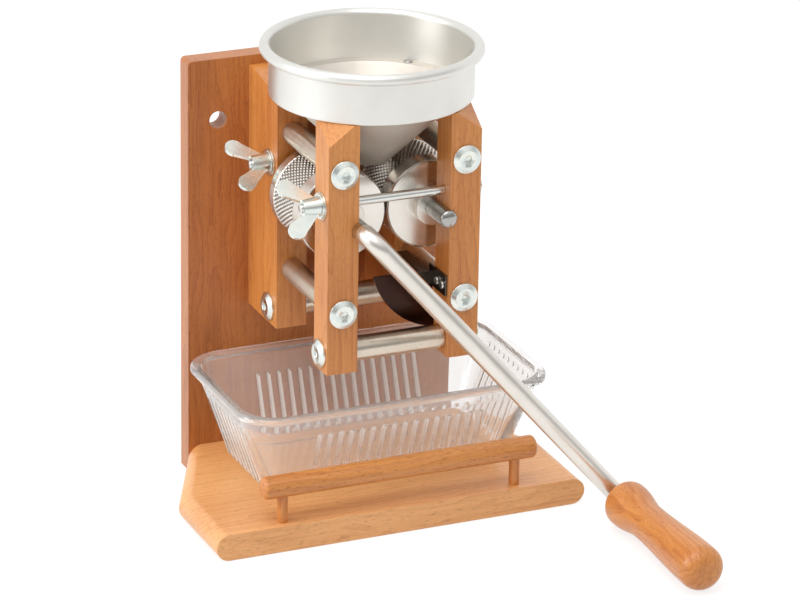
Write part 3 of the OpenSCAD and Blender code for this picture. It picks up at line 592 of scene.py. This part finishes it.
class FLAKER_OT_clamps(bpy.types.Operator):
    """Clamp bolts with a plain shank and a threaded end, and their wing nuts"""
    bl_idname = "flaker.clamps"
    bl_label = "Clamp bolts and wing nuts"

    def execute(self, context):
        zinc = zinc_plate("zinc_clamps")
        for end in ("front", "rear"):
            node = end + "_clamp_bolt"
            points, faces = self.bolt(low(node), high(node), middle(node))
            bright = drawn_metal("bright_" + node, (60, 2600, 2600), colour_of(224, 225, 221), 0.24, 0.2)
            bolt = dressed(finished("dressed_" + node, points, faces, node), bright)
            bolt.modifiers.new("Normals", "WEIGHTED_NORMAL").weight = 80
            node = end + "_wing_nut"
            dressed(softened("dressed_" + node, node, 0.9 * MM, 4, 35), zinc)
        return {"FINISHED"}

    def bolt(self, lowest, highest, centre):
        """Bolt along X: the shank's radius is r, and over the threaded end r - depth * ramp(x / pitch - a / 2 pi),
        where ramp goes from 0 to 1 and back; the head is a six-sided prism with drawn-in ends."""
        radius, head_length, thread_length, pitch, depth = 3 * MM, 4 * MM, 32 * MM, 1 * MM, 0.45 * MM
        steps = 32
        tip, seat = lowest[0], highest[0] - head_length
        tip_x = np.array([tip, tip, tip + 0.5 * MM])
        thread_x = np.arange(tip + 0.6 * MM, tip + thread_length, pitch / 8)
        plain_x = np.linspace(tip + thread_length + 0.1 * MM, seat, 6)
        x = np.concatenate([tip_x, thread_x, plain_x])
        angle = np.linspace(0, 1, steps, endpoint=False)
        phase = (thread_x[:, None] / pitch - angle[None]) % 1
        thread = radius - depth * (1 - np.abs(2 * phase - 1))
        plain = np.full((len(plain_x), steps), radius)
        ends = np.repeat([[0], [radius - depth], [radius - 0.1 * MM]], steps, axis=1)
        rings = np.vstack([ends, thread, plain])
        line = np.array([0, centre[1], centre[2]])
        shank = turned(np.column_stack([rings[:, 0], x, rings]), line, "x", steps)
        flat = highest[1] - centre[1]
        seat_x, top_x = seat, highest[0]
        corner = flat / math.cos(math.pi / 6)
        reach = max(highest[2] - centre[2], flat)
        corner = min(corner, reach)
        chamfer = 0.5 * MM
        head = [(0, seat_x), (corner - chamfer, seat_x), (corner, seat_x + chamfer), (corner, top_x - chamfer),
                (corner - chamfer, top_x), (0, top_x)]
        cap = turned(head, line, "x", 6)
        faces = grid_faces(*shank.shape[:2], caps=True)
        faces += grid_faces(*cap.shape[:2], start=shank.shape[0] * shank.shape[1])
        return np.vstack([shank.reshape(-1, 3), cap.reshape(-1, 3)]), faces


class FLAKER_OT_rollers(bpy.types.Operator):
    """The two knurled rollers and their shafts"""
    bl_idname = "flaker.rollers"
    bl_label = "Rollers"

    def execute(self, context):
        metal = settings()[1]
        for side in ("drive", "driven"):
            node = side + "_roller"
            centre = middle(node)
            points, faces = self.roller(low(node), high(node), metal.knurl_pitch, metal.knurl_depth)
            piece = finished("knurled_" + node, points, faces, node)
            radius = (high(node)[2] - low(node)[2]) / 2
            # The knurl's two radii tell turned_metal where to paint shade into the grooves.
            dressed(piece, turned_metal(
                "steel_" + node, centre, "y", metal.bright, 0.26, lines=12000, depth=0.000002, wear=0.2, stretch=0.6,
                knurl=(radius - metal.knurl_depth, radius - 0.05 * MM)))
        piece = softened("dressed_drive_shaft", "drive_shaft", 0.5 * MM, 3, 30)
        line = middle("drive_shaft")
        dressed(piece, turned_metal("steel_drive_shaft", line, "y", metal.steel, 0.15, depth=0.000008, wear=0.2))
        line = middle("driven_shaft")
        piece = finished("dressed_driven_shaft", *self.domed("driven_shaft", 3 * MM), "driven_shaft")
        dressed(piece, turned_metal("steel_driven_shaft", line, "y", metal.dark, 0.15, depth=0.000008, wear=0.2))
        return {"FINISHED"}

    def domed(self, node, dome):
        """Shaft on Y with a domed front end: at turn t its radius is r sin t, dome (1 - cos t) behind the tip.
        The rear end has a small chamfer."""
        lowest, highest, line = low(node), high(node), middle(node)
        radius, chamfer = (highest[2] - lowest[2]) / 2, 0.5 * MM
        turn = np.linspace(0, math.pi / 2, 14)
        front = np.column_stack([radius * np.sin(turn), lowest[1] + dome * (1 - np.cos(turn))])
        rear = [(radius, highest[1] - chamfer), (radius - chamfer, highest[1]), (0, highest[1])]
        profile = held(np.vstack([front, rear]), 0.3 * MM)
        points = turned(profile, (line[0], 0, line[2]), "y", 64)
        return points, grid_faces(*points.shape[:2])

    def roller(self, lowest, highest, pitch, depth):
        """Roller on Y: bosses, faces and plain bands turned from a profile. Over the knurl the radius is
        r - depth * (1 - 1.3 * min(ramp(u), ramp(v))), no more than r, where u and v count the grooves of the
        two crossing helices at 30 degrees: (r * a * cos 30 +- y * sin 30) / pitch."""
        centre = (lowest + highest) / 2
        radius = (highest[2] - lowest[2]) / 2
        boss, bore = 12 * MM, 6.05 * MM
        front_face, rear_face = lowest[1] + 7.2 * MM, highest[1] - 3.7 * MM
        chamfer, front_band, rear_band = 0.8 * MM, 13 * MM, 8 * MM
        teeth = round(2 * math.pi * radius * math.cos(math.pi / 6) / pitch)
        steps = teeth * 8
        knurl_y = np.arange(front_face + front_band, rear_face - rear_band, pitch / 8)
        before = rounded_path([
            (bore, lowest[1]), (boss, lowest[1]), (boss, front_face), (radius - chamfer, front_face),
            (radius, front_face + chamfer), (radius, knurl_y[0] - 0.3 * MM)],
            [0.4 * MM, 0.3 * MM, 0.15 * MM, 0.15 * MM], 3)
        before = held(before, 0.2 * MM)
        after = rounded_path([
            (radius, knurl_y[-1] + 0.3 * MM), (radius, rear_face - chamfer), (radius - chamfer, rear_face),
            (boss, rear_face), (boss, highest[1]), (bore, highest[1])],
            [0.15 * MM, 0.15 * MM, 0.3 * MM, 0.4 * MM], 3)
        after = held(after, 0.2 * MM)
        angle = np.linspace(0, 1, steps, endpoint=False)
        lean = (knurl_y[:, None] - knurl_y[0]) * math.sin(math.pi / 6) / pitch
        ramp_u = np.abs(2 * ((teeth * angle[None] + lean) % 1) - 1)
        ramp_v = np.abs(2 * ((teeth * angle[None] - lean) % 1) - 1)
        knurl = radius - depth * (1 - np.minimum(1, 1.3 * np.minimum(ramp_u, ramp_v)))
        plain = [np.repeat(part[:, :1], steps, axis=1) for part in (before, after)]
        rings = np.vstack([plain[0], knurl, plain[1]])
        y = np.concatenate([before[:, 1], knurl_y, after[:, 1]])
        line = np.array([centre[0], 0, centre[2]])
        points = turned(np.column_stack([rings[:, 0], y, rings]), line, "y", steps)
        return points, grid_faces(*points.shape[:2], close_rows=True)


class FLAKER_OT_crank(bpy.types.Operator):
    """Crank arm, its spindle and the turned handle"""
    bl_idname = "flaker.crank"
    bl_label = "Crank"

    def execute(self, context):
        wood, metal = settings()[:2]
        arm = softened("dressed_crank_arm", "crank_arm", 0.6 * MM, 3, 30)
        dressed(arm, self.arm_steel(metal.bright))
        spindle = softened("dressed_spindle", "grip_spindle", 0.4 * MM)
        dressed(spindle, turned_metal("steel_spindle", middle("grip_spindle"), "y", metal.steel, 0.3))
        handle = finished("turned_handle", *self.handle(low("crank_handle"), high("crank_handle")), "crank_handle")
        dressed(handle, beech("beech_handle", "y", wood.post_light, wood.post_dark, (0.10, 0.03), 0.93, 1.5))
        return {"FINISHED"}

    def arm_steel(self, steel):
        """Bar steel polished along the arm, whose direction lies in the XZ plane."""
        f = Finish("steel_crank_arm")
        drop = math.atan2(high("crank_arm")[2] - low("crank_arm")[2], high("crank_arm")[0] - low("crank_arm")[0])
        turn = f.add("ShaderNodeMapping", {"Vector": f.place, "Rotation": (0, -drop, 0)}).outputs[0]
        scratch = f.noise(f.vector("MULTIPLY", turn, (30, 3400, 3400)), detail=3.0)
        stain = f.noise(f.vector("MULTIPLY", turn, (25, 90, 90)), detail=4.0)
        dull = tuple(c * 0.72 for c in steel[:3]) + (1.0,)
        tint = f.mix(f.sum("MULTIPLY", f.between(stain, 0.40, 0.75), 0.5), steel, dull)
        rough = f.sum("ADD", f.sum("MULTIPLY", scratch, 0.16), f.sum("MULTIPLY", stain, 0.16))
        rough = f.sum("ADD", rough, 0.17)
        return f.shine(colour=tint, metal=1.0, rough=rough, height=scratch, depth=0.00001, strength=0.35)

    def handle(self, lowest, highest):
        """Handle turned on Y. From the collar to the waist and from the waist to the round end the radius
        moves over half a cosine wave, and both ends are rounded."""
        length = highest[1] - lowest[1]
        collar, waist, bulb = (highest[0] - lowest[0]) / 2, 12.5 * MM, 15 * MM
        share = np.linspace(0.05, 0.915, 60)
        waist_at, bulb_at = 0.30, 0.88
        fall = (np.maximum(0, share - 0.07)) / (waist_at - 0.07)
        rise = np.clip((share - waist_at) / (bulb_at - waist_at), 0, 1)
        radius = np.where(
            share < waist_at,
            waist + (collar - waist) * (0.5 + 0.5 * np.cos(math.pi * np.minimum(1, fall))),
            waist + (bulb - waist) * (0.5 - 0.5 * np.cos(math.pi * rise)))
        body = np.column_stack([radius, share * length])
        quarter = np.radians(np.linspace(0, 90, 10))
        start_round, end_round = 0.05 * length, 0.085 * length
        start = np.column_stack([
            radius[0] - start_round * (1 - np.sin(quarter)), start_round * (1 - np.cos(quarter))])
        end = np.column_stack([
            radius[-1] - end_round * (1 - np.cos(quarter)), length - end_round * (1 - np.sin(quarter))])
        profile = np.vstack([[[4 * MM, 0]], start[:-1], body, end[1:], [[0, length]]])
        centre = np.array([(lowest[0] + highest[0]) / 2, highest[1], (lowest[2] + highest[2]) / 2])
        points = turned(profile, centre, (0, -1, 0), 96)
        return points, grid_faces(*points.shape[:2], caps=True)


class FLAKER_OT_guard(bpy.types.Operator):
    """The guard plate under the right roller, painted dark brown for the shaded wood it reflects, and its angle"""
    bl_idname = "flaker.guard"
    bl_label = "Guard"

    def execute(self, context):
        # Painted reflection: the polished plate is coloured a mottled dark brown that stands in for the shaded wood it
        # mirrors.
        f = Finish("plate_painted_wood_reflection")
        painted_reflection_mottle = f.noise(f.place, scale=70.0, detail=3.0)
        scratch = f.noise(f.vector("MULTIPLY", f.place, (2400, 400, 160)), detail=2.0)
        tint = f.mix(painted_reflection_mottle, colour_of(66, 38, 28), colour_of(40, 23, 18))
        rough = f.sum("ADD", f.sum("MULTIPLY", painted_reflection_mottle, 0.12), f.sum("ADD", f.sum("MULTIPLY", scratch, 0.1), 0.08))
        plate = f.shine(colour=tint, metal=0.75, rough=rough, height=scratch, depth=0.00002, strength=0.4)
        dressed(softened("dressed_guard_plate", "guard_plate", 0.3 * MM, 2, 30), plate)
        steel = drawn_metal("steel_bracket", (300, 3000, 300), colour_of(96, 88, 80), 0.3)
        dressed(softened("dressed_guard_bracket", "guard_bracket", 0.3 * MM, 2, 30), steel)
        return {"FINISHED"}


class FLAKER_OT_funnel(bpy.types.Operator):
    """Funnel: spun band with a rolled lip, steel cone and rivets"""
    bl_idname = "flaker.funnel"
    bl_label = "Funnel"

    def execute(self, context):
        metal = settings()[1]
        centre = middle("funnel_band")
        bottom, top = low("funnel_band")[2], high("funnel_band")[2]
        lip, sheet, foot = 3.6 * MM, 1 * MM, 57.8 * MM
        outer = high("funnel_band")[0] - 2 * lip + sheet
        turn = np.radians(np.linspace(180, -170, 36))
        roll = np.column_stack([outer - sheet + lip + lip * np.cos(turn), top - lip + lip * np.sin(turn)])
        wall = rounded_path(
            [(outer, top - 2 * lip), (outer, bottom), (foot, bottom), (foot, bottom + sheet),
             (outer - sheet, bottom + sheet), (outer - sheet, top - lip)],
            [1.2 * MM, 0.3 * MM, 0.3 * MM, 0.6 * MM], 4)
        profile = np.vstack([wall[:-1], roll[:-4]])
        line = (centre[0], centre[1], 0)
        points = turned(profile, line, "z", 192)
        band = finished("spun_band", points, grid_faces(*points.shape[:2], close_rows=True), "funnel_band")
        satin = turned_metal("satin_aluminium", line, "z", metal.aluminium, 0.42, lines=1800, wear=0.08)
        dressed(band, satin)
        cone = dressed(softened("dressed_cone", "funnel_cone", 0.25 * MM), turned_metal(
            "steel_cone", line, "z", metal.cone, 0.60, lines=2200, depth=0.000006, wear=0.15, stretch=0.1))
        cone.data.polygons.foreach_set("use_smooth", [True] * len(cone.data.polygons))
        rivets = drawn_metal("steel_rivets", (500, 500, 500), metal.dark, 0.34)
        dressed(softened("dressed_rivets", "funnel_rivets", 0.5 * MM, 3), rivets)
        return {"FINISHED"}


class FLAKER_OT_dish(bpy.types.Operator):
    """Glass dish with a beaded rim and ribbed walls"""
    bl_idname = "flaker.dish"
    bl_label = "Glass dish"

    def execute(self, context):
        sizes = settings()[2]
        dish = finished("ribbed_dish", *self.dish(sizes), "glass_dish")
        f = Finish("clear_glass")
        ripple = f.noise(f.place, scale=120.0, detail=2.0)
        ribs = self.rib_painted_highlights(f, sizes)
        # Painted highlight and reflection: the glass keeps a white diffuse share, 13 % everywhere and 70 % on the ribs,
        # in place of the bright surroundings it reflects and refracts.
        glass = f.principled(colour=(0.99, 0.99, 0.985, 1.0), rough=0.02, ior=1.5,
                             clear=f.between(ribs, 0.0, 1.0, 0.87, 0.30),
                             height=ripple, depth=0.0003, strength=0.12)
        paths = f.add("ShaderNodeLightPath").outputs
        lamp_ways = f.sum("MAXIMUM", paths["Is Shadow Ray"], paths["Is Diffuse Ray"])
        passing = f.add("ShaderNodeBsdfTransparent", {"Color": (0.97, 0.98, 0.975, 1.0)}).outputs[0]
        shader = f.add("ShaderNodeMixShader", {0: lamp_ways, 1: glass, 2: passing})
        f.add("ShaderNodeOutputMaterial", {"Surface": shader.outputs[0]})
        dressed(dish, f.material)
        return {"FINISHED"}

    def rib_painted_highlights(self, f, sizes):
        """One on the ribs, which are painted whiter as a highlight of the bright surroundings, and zero between them:
        a cosine of the place along each wall, cut off beyond the last rib and above and below the ribs."""
        centre = (*middle("glass_dish")[:2], low("glass_dish")[2])
        x, y, z = f.add("ShaderNodeSeparateXYZ", {0: f.vector("SUBTRACT", f.place, centre)}).outputs
        pitch = sizes.rib_pitch
        marks = []
        for along, count in ((x, sizes.long_ribs), (y, sizes.short_ribs)):
            wave = f.sum("COSINE", f.sum("MULTIPLY", along, 2 * math.pi / pitch))
            kept = f.sum("LESS_THAN", f.sum("ABSOLUTE", along), count / 2 * pitch)
            marks.append(f.sum("MULTIPLY", f.between(wave, -0.98, -0.5, 1, 0), kept))
        short = f.sum("GREATER_THAN", f.sum("ABSOLUTE", x), (sizes.long_ribs / 2 + 0.2) * pitch)
        marks[1] = f.sum("MULTIPLY", marks[1], short)
        tall = f.sum("MULTIPLY", f.between(z, 7 * MM, 9 * MM), f.between(z, 49 * MM, 50.5 * MM, 1, 0))
        return f.sum("MULTIPLY", f.sum("MAXIMUM", *marks), tall)

    def outline(self, half, corner, inset, places):
        """Rounded rectangle drawn in by inset: places runs once round it, over four sides and four corners.
        Returns the points and the outward directions there."""
        radius = np.maximum(4 * MM, corner - 0.6 * inset)
        straight = [half[0] - inset - radius, half[1] - inset - radius]
        part = np.floor(places * 8).astype(int) % 8
        share = places * 8 - np.floor(places * 8)
        quadrant = part // 2
        turn = np.where(part % 2 == 1, share, 0.0)
        angle = (quadrant - 1 + turn) * math.pi / 2
        outward = np.column_stack([np.cos(angle), np.sin(angle)])
        along = 2 * share - 1
        corner_x = np.array([1, 1, -1, -1])[quadrant] * straight[0]
        corner_y = np.array([-1, 1, 1, -1])[quadrant] * straight[1]
        side_x = np.select([quadrant == 0, quadrant == 2], [along * straight[0], -along * straight[0]], corner_x)
        side_y = np.select([quadrant == 1, quadrant == 3], [along * straight[1], -along * straight[1]], corner_y)
        middle_x = np.where(part % 2 == 1, corner_x, side_x)
        middle_y = np.where(part % 2 == 1, corner_y, side_y)
        return np.column_stack([middle_x, middle_y]) + radius * outward, outward

    def dish(self, sizes):
        """Dish whose rings are rounded rectangles along a profile of (inset, height): up the outside, over the
        rim's bead and down the inside. Outside, ribs rib_height * bump(x / pitch) stand on the walls, and a
        row of small round beads runs below the rim."""
        lowest, highest = low("glass_dish"), high("glass_dish")
        centre, half = (lowest + highest) / 2, (highest - lowest)[:2] / 2
        tall, corner, slope, bead, wall = highest[2] - lowest[2], 26 * MM, 25 * MM, 2.5 * MM, 4 * MM
        rise = np.concatenate([np.linspace(9, 45, 16), np.linspace(45.5, 62, 34)]) * MM
        outside_in = bead + (slope - bead) * (1 - rise / tall)
        foot = rounded_path([(40 * MM, 1 * MM), (34 * MM, 1 * MM), (33 * MM, 0), (30 * MM, 0),
                             (outside_in[0], rise[0]), (outside_in[1], rise[1])],
                            [0.5 * MM, 0.5 * MM, 4 * MM, 0.1 * MM], 5)[:-2]
        rim = rounded_path([
            (outside_in[-1], rise[-1]), (bead, 63 * MM), (0.2 * MM, 63.6 * MM), (0.2 * MM, tall),
            (bead + wall, tall), (bead + wall + 2.2 * MM, 56 * MM), (slope + wall, 5 * MM), (44 * MM, 5 * MM)],
            [0.6 * MM, 0.8 * MM, 2.3 * MM, 2.0 * MM, 3 * MM, 8 * MM], 5)[1:]
        profile = np.vstack([foot, np.column_stack([outside_in, rise]), rim])
        is_outside = np.zeros(len(profile))
        is_outside[len(foot):len(foot) + len(rise)] = 1
        long_share, short_share = 230, 110
        places = []
        for part in range(8):
            count = 28 if part % 2 else (long_share if part in (0, 4) else short_share)
            places.append((part + np.arange(count) / count) / 8)
        places = np.concatenate(places)
        rings = []
        for (inset, height), outside in zip(profile, is_outside):
            ring, outward = self.outline(half, corner, inset, places)
            if outside:
                ring = ring + outward * self.relief(ring, outward, height, half, corner, sizes)[:, None]
            rings.append(np.column_stack([ring + centre[:2], np.full(len(ring), lowest[2] + height)]))
        points = np.array(rings)
        return points, grid_faces(*points.shape[:2], caps=True)

    def relief(self, ring, outward, height, half, corner, sizes):
        """How far the outer wall stands out: half-round ribs with round ends, which lie evenly to both sides of
        the wall's middle, and a row of beads between them."""
        on_long = np.abs(outward[:, 1]) > 0.999
        on_short = np.abs(outward[:, 0]) > 0.999
        along = np.where(on_long, ring[:, 0], ring[:, 1])
        ribbed = (on_long & (np.abs(along) < sizes.long_ribs / 2 * sizes.rib_pitch)) | (
            on_short & (np.abs(along) < sizes.short_ribs / 2 * sizes.rib_pitch))
        phase = np.abs((along / sizes.rib_pitch) % 1 - 0.5) * sizes.rib_pitch
        rib_half, foot, top = 2.0 * MM, 9 * MM, 48.5 * MM
        beyond = max(0, foot - height, height - top)
        rib = np.sqrt(np.clip(1 - (phase ** 2 + beyond ** 2) / rib_half ** 2, 0, 1)) * ribbed
        row, bead_half = 57.5 * MM, 1.3 * MM
        spot = np.abs((along / sizes.dot_pitch + 0.5) % 1 - 0.5) * sizes.dot_pitch
        near = 1 - (spot ** 2 + (height - row) ** 2) / bead_half ** 2
        bead = 0.8 * MM * np.sqrt(np.clip(near, 0, 1)) * (on_long | on_short)
        return sizes.rib_height * rib + bead


class FLAKER_OT_studio(bpy.types.Operator):
    """Pale floor, soft lights, white surroundings and the camera at the photograph's angle"""
    bl_idname = "flaker.studio"
    bl_label = "Studio"

    def execute(self, context):
        studio = settings()[3]
        self.floor()
        self.surroundings(context.scene)
        self.lamp("overhead", (-0.5, -0.5, 1.8), (0.02, 0, 0.1), 1.4, studio.key)
        self.lamp("left", (-1.9, 0.1, 0.9), (0, 0, 0.12), 1.1, studio.fill)
        self.camera(context.scene, studio.lens)
        context.scene.view_settings.view_transform = "Standard"
        return {"FINISHED"}

    def floor(self):
        reach, drop = 6.0, 0.0004
        corners = [(-reach, -reach, -drop), (reach, -reach, -drop), (reach, reach, -drop), (-reach, reach, -drop)]
        mesh = bpy.data.meshes.new("floor")
        mesh.from_pydata(corners, [], [(0, 1, 2, 3)])
        plane = bpy.data.objects.new("floor", mesh)
        bpy.context.scene.collection.objects.link(plane)
        f = Finish("floor_white")
        paths = f.add("ShaderNodeLightPath").outputs
        seen = f.sum("MAXIMUM", paths["Is Camera Ray"], paths["Is Glossy Ray"])
        seen = f.sum("MAXIMUM", seen, paths["Is Transmission Ray"])
        matt = f.add("ShaderNodeBsdfDiffuse", {"Color": (0.30, 0.30, 0.30, 1.0)})
        glow = f.add("ShaderNodeEmission", {"Color": (1, 1, 1, 1), "Strength": 0.78})
        bright = f.add("ShaderNodeAddShader", {0: matt.outputs[0], 1: glow.outputs[0]})
        plain = f.add("ShaderNodeBsdfDiffuse", {"Color": (0.75, 0.75, 0.75, 1.0)})
        shader = f.add("ShaderNodeMixShader", {0: seen, 1: plain.outputs[0], 2: bright.outputs[0]})
        f.add("ShaderNodeOutputMaterial", {"Surface": shader.outputs[0]})
        mesh.materials.append(f.material)

    def surroundings(self, scene):
        """World: white to the camera and through the glass. To the object it is bright above, behind and beside
        it, and dimmer on the camera's side, though less so in the metal's gloss."""
        world = bpy.data.worlds.new("studio")
        world.use_nodes = True
        f = Finish("studio", world)
        paths = f.add("ShaderNodeLightPath").outputs
        way = f.add("ShaderNodeTexCoord").outputs["Generated"]
        split = f.add("ShaderNodeSeparateXYZ", {0: way}).outputs
        level = f.sum("MAXIMUM", f.between(split[1], -0.8, 0.1), f.between(split[2], 0.2, 0.8))
        diffuse = f.between(level, 0.0, 1.0, 0.38, 0.86)
        glossy = f.between(level, 0.0, 1.0, 0.42, 1.0)
        seen = f.sum("MAXIMUM", paths["Is Camera Ray"], paths["Is Transmission Ray"])
        strength = f.sum("MAXIMUM", diffuse, f.sum("MULTIPLY", glossy, paths["Is Glossy Ray"]))
        strength = f.sum("MAXIMUM", strength, seen)
        background = f.add("ShaderNodeBackground", {"Color": (1, 1, 1, 1), "Strength": strength})
        f.add("ShaderNodeOutputWorld", {"Surface": background.outputs[0]})
        scene.world = world

    def lamp(self, name, place, target, size, power):
        data = bpy.data.lights.new(name, "AREA")
        data.energy = power
        data.shape = "DISK"
        data.size = size
        lamp = bpy.data.objects.new(name, data)
        away = (np.array(place) - np.array(target)) / np.linalg.norm(np.array(place) - np.array(target))
        side = np.cross(AXES["z"], away)
        side /= np.linalg.norm(side)
        up = np.cross(away, side)
        turn = np.column_stack([side, up, away]).tolist()
        lamp.matrix_world = Matrix.Translation(place) @ Matrix(turn).to_4x4()
        bpy.context.scene.collection.objects.link(lamp)

    def camera(self, scene, lens):
        """Camera fitted to the photograph: it looks along heading and pitch, turned by roll about its view."""
        heading, pitch, roll = (math.radians(value) for value in (23.773, 21.582, 0.993))
        place = (-1.05470, -2.45352, 1.19269)
        ahead = np.array([
            math.sin(heading) * math.cos(pitch), math.cos(heading) * math.cos(pitch), -math.sin(pitch)])
        right = np.array([math.cos(heading), -math.sin(heading), 0])
        above = np.cross(right, ahead)
        side = math.cos(roll) * right + math.sin(roll) * above
        top = math.cos(roll) * above - math.sin(roll) * right
        data = bpy.data.cameras.new("camera")
        data.lens = lens
        data.sensor_width = 36
        camera = bpy.data.objects.new("camera", data)
        turn = Matrix(np.column_stack([side, top, -ahead]).tolist()).to_4x4()
        camera.matrix_world = Matrix.Translation(place) @ turn
        scene.collection.objects.link(camera)
        scene.camera = camera


OPERATORS = (
    FLAKER_OT_boards, FLAKER_OT_posts, FLAKER_OT_rail, FLAKER_OT_rods, FLAKER_OT_bolts, FLAKER_OT_clamps,
    FLAKER_OT_rollers, FLAKER_OT_crank, FLAKER_OT_guard, FLAKER_OT_funnel, FLAKER_OT_dish, FLAKER_OT_studio,
)
GROUPS = {
    "flaker_wood": FlakerWood, "flaker_metal": FlakerMetal, "flaker_dish": FlakerDish, "flaker_studio": FlakerStudio,
}


class FLAKER_PT_panel(bpy.types.Panel):
    """Lists the flaker's pieces"""
    bl_idname = "FLAKER_PT_panel"
    bl_label = "Grain flaker"
    bl_space_type = "VIEW_3D"
    bl_region_type = "UI"
    bl_category = "Flaker"

    def draw(self, context):
        for group, kind in GROUPS.items():
            for name in kind.__annotations__:
                self.layout.prop(getattr(context.scene, group), name)
        for operator in OPERATORS:
            self.layout.operator(operator.bl_idname)


def register():
    for kind in (*GROUPS.values(), *OPERATORS, FLAKER_PT_panel):
        bpy.utils.register_class(kind)
    for name, kind in GROUPS.items():
        setattr(bpy.types.Scene, name, bpy.props.PointerProperty(type=kind))


def unregister():
    for name in GROUPS:
        delattr(bpy.types.Scene, name)
    for kind in reversed((*GROUPS.values(), *OPERATORS, FLAKER_PT_panel)):
        bpy.utils.unregister_class(kind)


def main():
    register()
    for operator in OPERATORS:
        group, name = operator.bl_idname.split(".")
        getattr(getattr(bpy.ops, group), name)()


if __name__ == "__main__":
    main()
